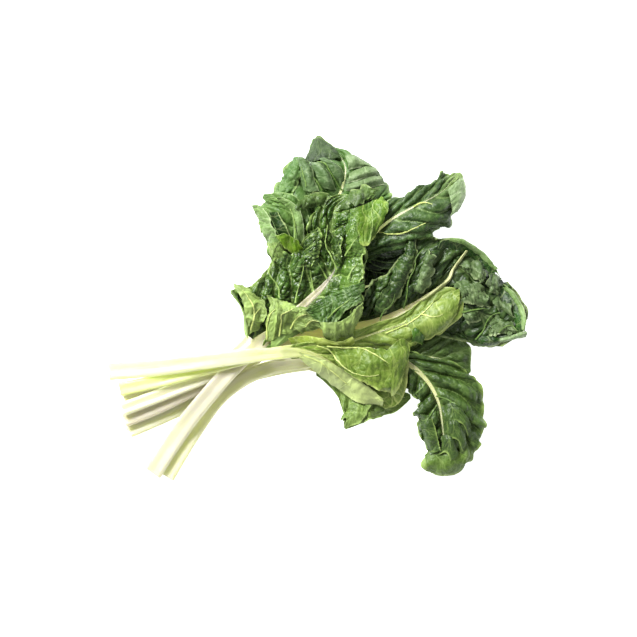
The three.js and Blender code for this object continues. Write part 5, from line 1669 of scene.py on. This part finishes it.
def leaf_under(name, deep, mid, vein, net):
    """The underside: duller, with all veins raised."""
    shader = Shader(name)
    place = shader.bent(shader.attribute("flat"))
    lines, share = vein_lines(shader, 2.0)
    net_line = shader.fall(shader.cells(place, net), 0.02, 0.12)
    colour = shader.mix(shader.ramp(shader.noise(place, 20.0), 0.35, 0.65), deep, mid)
    colour = shader.tint(colour, vein, net_line, 0.08)
    colour = shader.tint(colour, vein, shader.fall(share, 0.0, 0.2), 0.5)
    colour = shader.tint(colour, vein, lines, 0.35)
    raised = shader.scaled(lines, 0.5, shader.times(net_line, 0.12))
    height = shader.scaled(shader.noise(place, 1.6), 0.25, raised)
    return shader.finish(Base_Color=colour, Roughness=0.6, Normal=shader.bump(height, 0.5))


def stalk_material(name, pale, green):
    """A stalk's flesh: fibres along it, greener at its edges and towards the leaf."""
    shader = Shader(name)
    flat = shader.attribute("flat")
    share, across, _ = shader.parts(shader.attribute("lamina"))
    fibres = shader.noise(shader.vector("MULTIPLY", flat, (1.0, 0.03, 1.0)), 0.9, 3.0)
    edge = shader.ramp(shader.math("ABSOLUTE", across), 0.25, 0.5)
    towards_leaf = shader.ramp(share, -0.45, 0.35)
    greener = shader.scaled(edge, 0.15, shader.times(towards_leaf, 0.6))
    greener = shader.scaled(shader.noise(flat, 25.0), 0.25, greener)
    colour = shader.mix(shader.math("MINIMUM", greener, 1.0), pale, green)
    colour = shader.tint(colour, green, shader.ramp(fibres, 0.5, 0.75), 0.3)
    return shader.finish(
        Base_Color=colour, Roughness=0.38, Normal=shader.bump(fibres, 0.25),
        Subsurface_Weight=0.8, Subsurface_Radius=(0.9, 1.0, 0.6), Subsurface_Scale=0.014,
    )


# The flesh of the stalks: its own colour, and what it turns to towards the leaf and the edges.
FLESH = {
    "leaf_lower_right": ((204, 201, 178), (184, 184, 116)),
    "leaf_left": ((204, 200, 180), (178, 170, 140)),
    "leaf_right": ((202, 196, 172), (190, 174, 146)),
    "leaf_young_back": ((200, 204, 150), (176, 192, 92)),
    "leaf_young_front": ((206, 205, 176), (178, 192, 92)),
}
OTHER_FLESH = ((204, 201, 178), (184, 186, 124))

# Colours as on screen: the upper side's deep, middle and bright green and its veins, and the
# underside. Then how glossy the upper side is, the size of its net of small veins in millimetres,
# and how much the veins stand out. A leaf's own tones have its name.
TONES = {
    "leaf_middle_right": "50 72 26, 78 104 44, 103 128 64, 135 155 95, 120 142 84, 0.4 6 0.3",
    "leaf_lower": "82 106 42, 118 144 66, 150 174 94, 165 190 110, 140 165 92, 0.4 6 0.4",
    "leaf_top": "52 88 26, 88 115 62, 114 140 94, 135 160 95, 125 150 95, 0.35 7 0.14",
    "leaf_upper_left": "56 88 30, 90 120 54, 124 154 82, 160 185 120, 150 175 110, 0.35 6 0.3",
    "leaf_inner": "18 32 8, 34 54 18, 52 76 32, 100 125 70, 80 105 60, 0.7 6 0.3",
    "leaf_lower_right": "38 60 18, 64 90 36, 90 116 54, 140 165 85, 115 140 80, 0.6 6 0.35",
    "leaf_right": "22 46 8, 47 75 22, 86 107 54, 135 152 95, 118 138 84, 0.6 8 0.3",
    "leaf_upper_right": "30 54 15, 56 84 34, 84 110 56, 146 172 102, 125 152 90, 0.5 6 0.35",
    "leaf_left": "18 42 4, 44 78 12, 78 112 28, 150 178 95, 125 152 78, 0.9 5 0.65",
    "leaf_young_back": "92 116 38, 118 138 58, 142 160 82, 190 204 118, 170 190 100, 0.5 8 0.4",
    "bright_fold": "54 88 6, 84 118 18, 114 146 40, 170 190 100, 140 166 84, 0.5 6 0.5",
    "glossy_fold": "48 80 14, 74 106 32, 102 132 60, 150 176 96, 130 156 84, 0.9 5 0.4",
    "lobe_fold": "78 104 28, 106 130 44, 132 154 66, 180 196 110, 156 174 98, 0.5 8 0.4",
    "lime_fold": "92 134 16, 132 174 36, 162 196 70, 186 206 114, 150 176 92, 0.5 6 0.5",
    "frost_fold": "104 128 80, 134 156 110, 160 178 140, 190 204 170, 150 172 116, 0.3 6 0.3",
    "waist_fold": "132 152 56, 160 178 80, 186 200 110, 210 218 146, 170 190 104, 0.4 8 0.5",
    "deep_fold": "40 70 16, 62 94 32, 88 118 52, 134 158 98, 130 154 92, 0.6 5 0.5",
    # painted shade: darker greens for the leaf top's shaded, curved tip
    "tip_fold_painted_shade": "32 50 22, 50 70 34, 70 90 50, 116 138 84, 110 132 80, 0.3 6 0.3",
    "vein_fold": "92 120 56, 112 140 72, 126 152 86, 126 152 86, 120 146 80, 0.5 8 0.1",
    "pale_vein_fold": "122 148 76, 142 168 92, 156 180 104, 156 180 104, 130 156 84, 0.5 8 0.1",
    "stem_fold": "174 178 124, 192 194 142, 202 206 152, 206 212 150, 190 196 134, 0.4 8 0.1",
    # grey-green with painted sheen: pale grey that stands in for the sky's reflection on crests
    "pale_sheen_fold": "90 112 68, 118 140 96, 144 162 122, 170 184 144, 144 162 114, 0.3 7 0.3",
    "curl_fold": "40 78 6, 58 102 12, 84 128 30, 150 172 90, 120 146 84, 0.6 6 0.3",
    "toe_fold": "66 92 28, 94 122 46, 120 146 70, 160 180 110, 130 152 90, 0.4 6 0.3",
    # grey-green with painted sheen: its pale grey stands in for highlights on domes and ridges
    "grey_green_sheen_fold": "64 86 44, 92 112 68, 124 142 102, 150 166 118, 118 138 84, 0.4 7 0.35",
    "rib_fold": "176 190 104, 196 206 128, 206 214 148, 210 216 150, 196 206 130, 0.4 8 0.1",
    # grey-green with painted sheen: its greyness stands in for reflection on crests
    "grey_fold": "62 88 44, 92 116 72, 124 146 104, 160 180 130, 130 152 96, 0.4 6 0.3",
    "margin_fold": "12 42 2, 28 72 4, 50 96 14, 176 194 128, 120 146 84, 0.5 6 0.3",
    "pale_fold": "110 138 64, 140 166 92, 168 190 120, 205 220 158, 134 158 80, 0.4 6 0.4",
    "bloom_fold": "88 116 56, 116 144 84, 142 166 112, 172 192 140, 150 174 116, 0.3 6 0.35",
    # painted shade: near-black greens that stand in for the shade of the cavity
    "cavity_painted_shade_fold": "14 28 6, 28 46 14, 44 66 24, 80 100 60, 60 80 45, 0.4 6 0.3",
    "leaf_young_front": "84 112 30, 114 138 48, 140 160 72, 200 212 126, 174 190 116, 0.5 8 0.8",
}

# How far along the midrib, in millimetres, a leaf's tip has turned paler.
TIPS = {"leaf_lower_right": 140, "leaf_upper_right": 135}
UNDER_DEEP, UNDER_VEIN = 0.8, 1.25  # of the underside's colour


@functools.cache
def blade_materials(name):
    """The upper and the under side's material in the tones of that name."""
    *upper, under, (gloss, net, vein_share) = numbers(TONES[name]).tolist()
    greens = [srgb(colour) for colour in upper]
    return [
        leaf_upper(f"{name}_upper", *greens, gloss, net, vein_share, TIPS.get(name)),
        leaf_under(f"{name}_under", srgb(under, UNDER_DEEP), srgb(under), srgb(under, UNDER_VEIN), net),
    ]


# ---- The bunch ----------------------------------------------------------------------------------


def find_shift():
    """What the frame adds to the leaves' millimetres, by the lowest leaf's stalk."""
    lowest = LEAVES[0]
    rings = coarse_stalk(lowest)[0].reshape(-1, 3)
    shift = np.array(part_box(f"{lowest['name']}_stalk")[0]) / MM - rings.min(axis=0)
    shift[2] = 0
    return shift


def add(piece, node):
    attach(piece, "root")
    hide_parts(node)


def add_leaf(leaf, lifts, laid):
    """A leaf's blade, stalk, folds and raised veins. laid has the surfaces that lie there by now."""
    name, slot = leaf["name"], leaf["slot"]
    blade, stalk = f"{name}_blade", f"{name}_stalk"
    surface = fine_blade(leaf, lifts)
    add(make_sheet(f"{blade}_fine", surface, blade_faces(surface), blade_materials(name)), blade)
    colours = FLESH.get(name, OTHER_FLESH)
    flesh = stalk_material(f"{name}_flesh", *(srgb(colour) for colour in colours))
    add(make_stalk(leaf, lifts, flesh), stalk)
    laid.append(surface["grid"])
    for fold in FOLDS:
        if fold["leaf"] == name:
            materials = blade_materials(fold["tones"])
            if fold["side"] == "under":
                materials = materials[::-1]
            surface = fold_surface(fold, ground_map(laid))
            piece = f"{name}_{fold['name']}_fine"
            add(make_sheet(piece, surface, fold_faces(surface), materials), blade)
            laid.append(surface["grid"])
    for owner, kind, tones, lines in VEINS:
        if owner == name:
            veins = make_veins(name, kind, lines, ground_map(laid), blade_materials(tones))
            add(veins, blade)


part_shift = find_shift()
all_lifts = settle()
surfaces_laid = []
for each in LEAVES:
    add_leaf(each, all_lifts[each["name"]], surfaces_laid)

# ---- Floor, light and camera --------------------------------------------------------------------

FLOOR_HALF = 3.0
FLOOR_COLOUR = (0.95, 0.95, 0.95, 1)
FLOOR_GLOW = (0.95, 0.97, 1, 1)
PHOTO_PIXELS = 637
PIXEL = MM  # one pixel of the photograph is a millimetre
CAMERA_HEIGHT = 3.0
SENSOR = 0.036
FOCUS_HEIGHT = 0.02  # the height at which a pixel is a millimetre
KEY_PLACE = (-1.1, 1.3, 1.5)
KEY_SIZE = 0.9
KEY_POWER = 125
HORIZON, ZENITH = 0.95, 0.3  # the sky's strength


def make_floor():
    corners = [(x * FLOOR_HALF, y * FLOOR_HALF, 0) for x, y in ((-1, -1), (1, -1), (1, 1), (-1, 1))]
    mesh = bpy.data.meshes.new("floor")
    mesh.from_pydata(corners, [], [(0, 1, 2, 3)])
    shader = Shader("white_surface")
    mesh.materials.append(shader.finish(
        Base_Color=FLOOR_COLOUR, Roughness=0.7, Emission_Color=FLOOR_GLOW, Emission_Strength=0.9,
    ))
    floor = bpy.data.objects.new("floor", mesh)
    bpy.context.scene.collection.objects.link(floor)


def add_softbox():
    """A square white light that points at the bunch."""
    light = bpy.data.lights.new("key", "AREA")
    light.shape = "SQUARE"
    light.size = KEY_SIZE
    light.energy = KEY_POWER
    lamp = bpy.data.objects.new("key", light)
    lamp.location = KEY_PLACE
    lamp.rotation_euler = (-Vector(KEY_PLACE)).to_track_quat("-Z", "Y").to_euler()
    bpy.context.scene.collection.objects.link(lamp)


def add_sky():
    """White light from all round, weaker from straight above, where the camera is."""
    world = bpy.data.worlds.new("studio")
    world.use_nodes = True
    nodes, links = world.node_tree.nodes, world.node_tree.links
    place = nodes.new("ShaderNodeTexCoord").outputs["Generated"]
    parts = nodes.new("ShaderNodeSeparateXYZ")
    links.new(place, parts.inputs[0])
    strength = nodes.new("ShaderNodeMapRange")
    links.new(parts.outputs["Z"], strength.inputs["Value"])
    strength.inputs["To Min"].default_value = HORIZON
    strength.inputs["To Max"].default_value = ZENITH
    background = nodes["Background"]
    background.inputs["Color"].default_value = (1, 1, 1, 1)
    links.new(strength.outputs[0], background.inputs["Strength"])
    bpy.context.scene.world = world


def add_camera():
    """A camera straight above, placed so that a point's pixel is the photograph's."""
    half_frame = (PHOTO_PIXELS - 1) / 2
    x = (half_frame - ORIGIN_PIXEL[0]) * PIXEL + part_shift[0] * MM
    y = (ORIGIN_PIXEL[1] - half_frame) * PIXEL + part_shift[1] * MM
    camera = bpy.data.objects.new("camera", bpy.data.cameras.new("camera"))
    camera.data.sensor_width = SENSOR / MM
    camera.data.lens = SENSOR / MM * (CAMERA_HEIGHT - FOCUS_HEIGHT) / (PHOTO_PIXELS * PIXEL)
    camera.location = (x, y, CAMERA_HEIGHT)
    bpy.context.scene.collection.objects.link(camera)
    bpy.context.scene.camera = camera


make_floor()
add_softbox()
add_sky()
add_camera()
bpy.context.scene.view_settings.view_transform = "Standard"
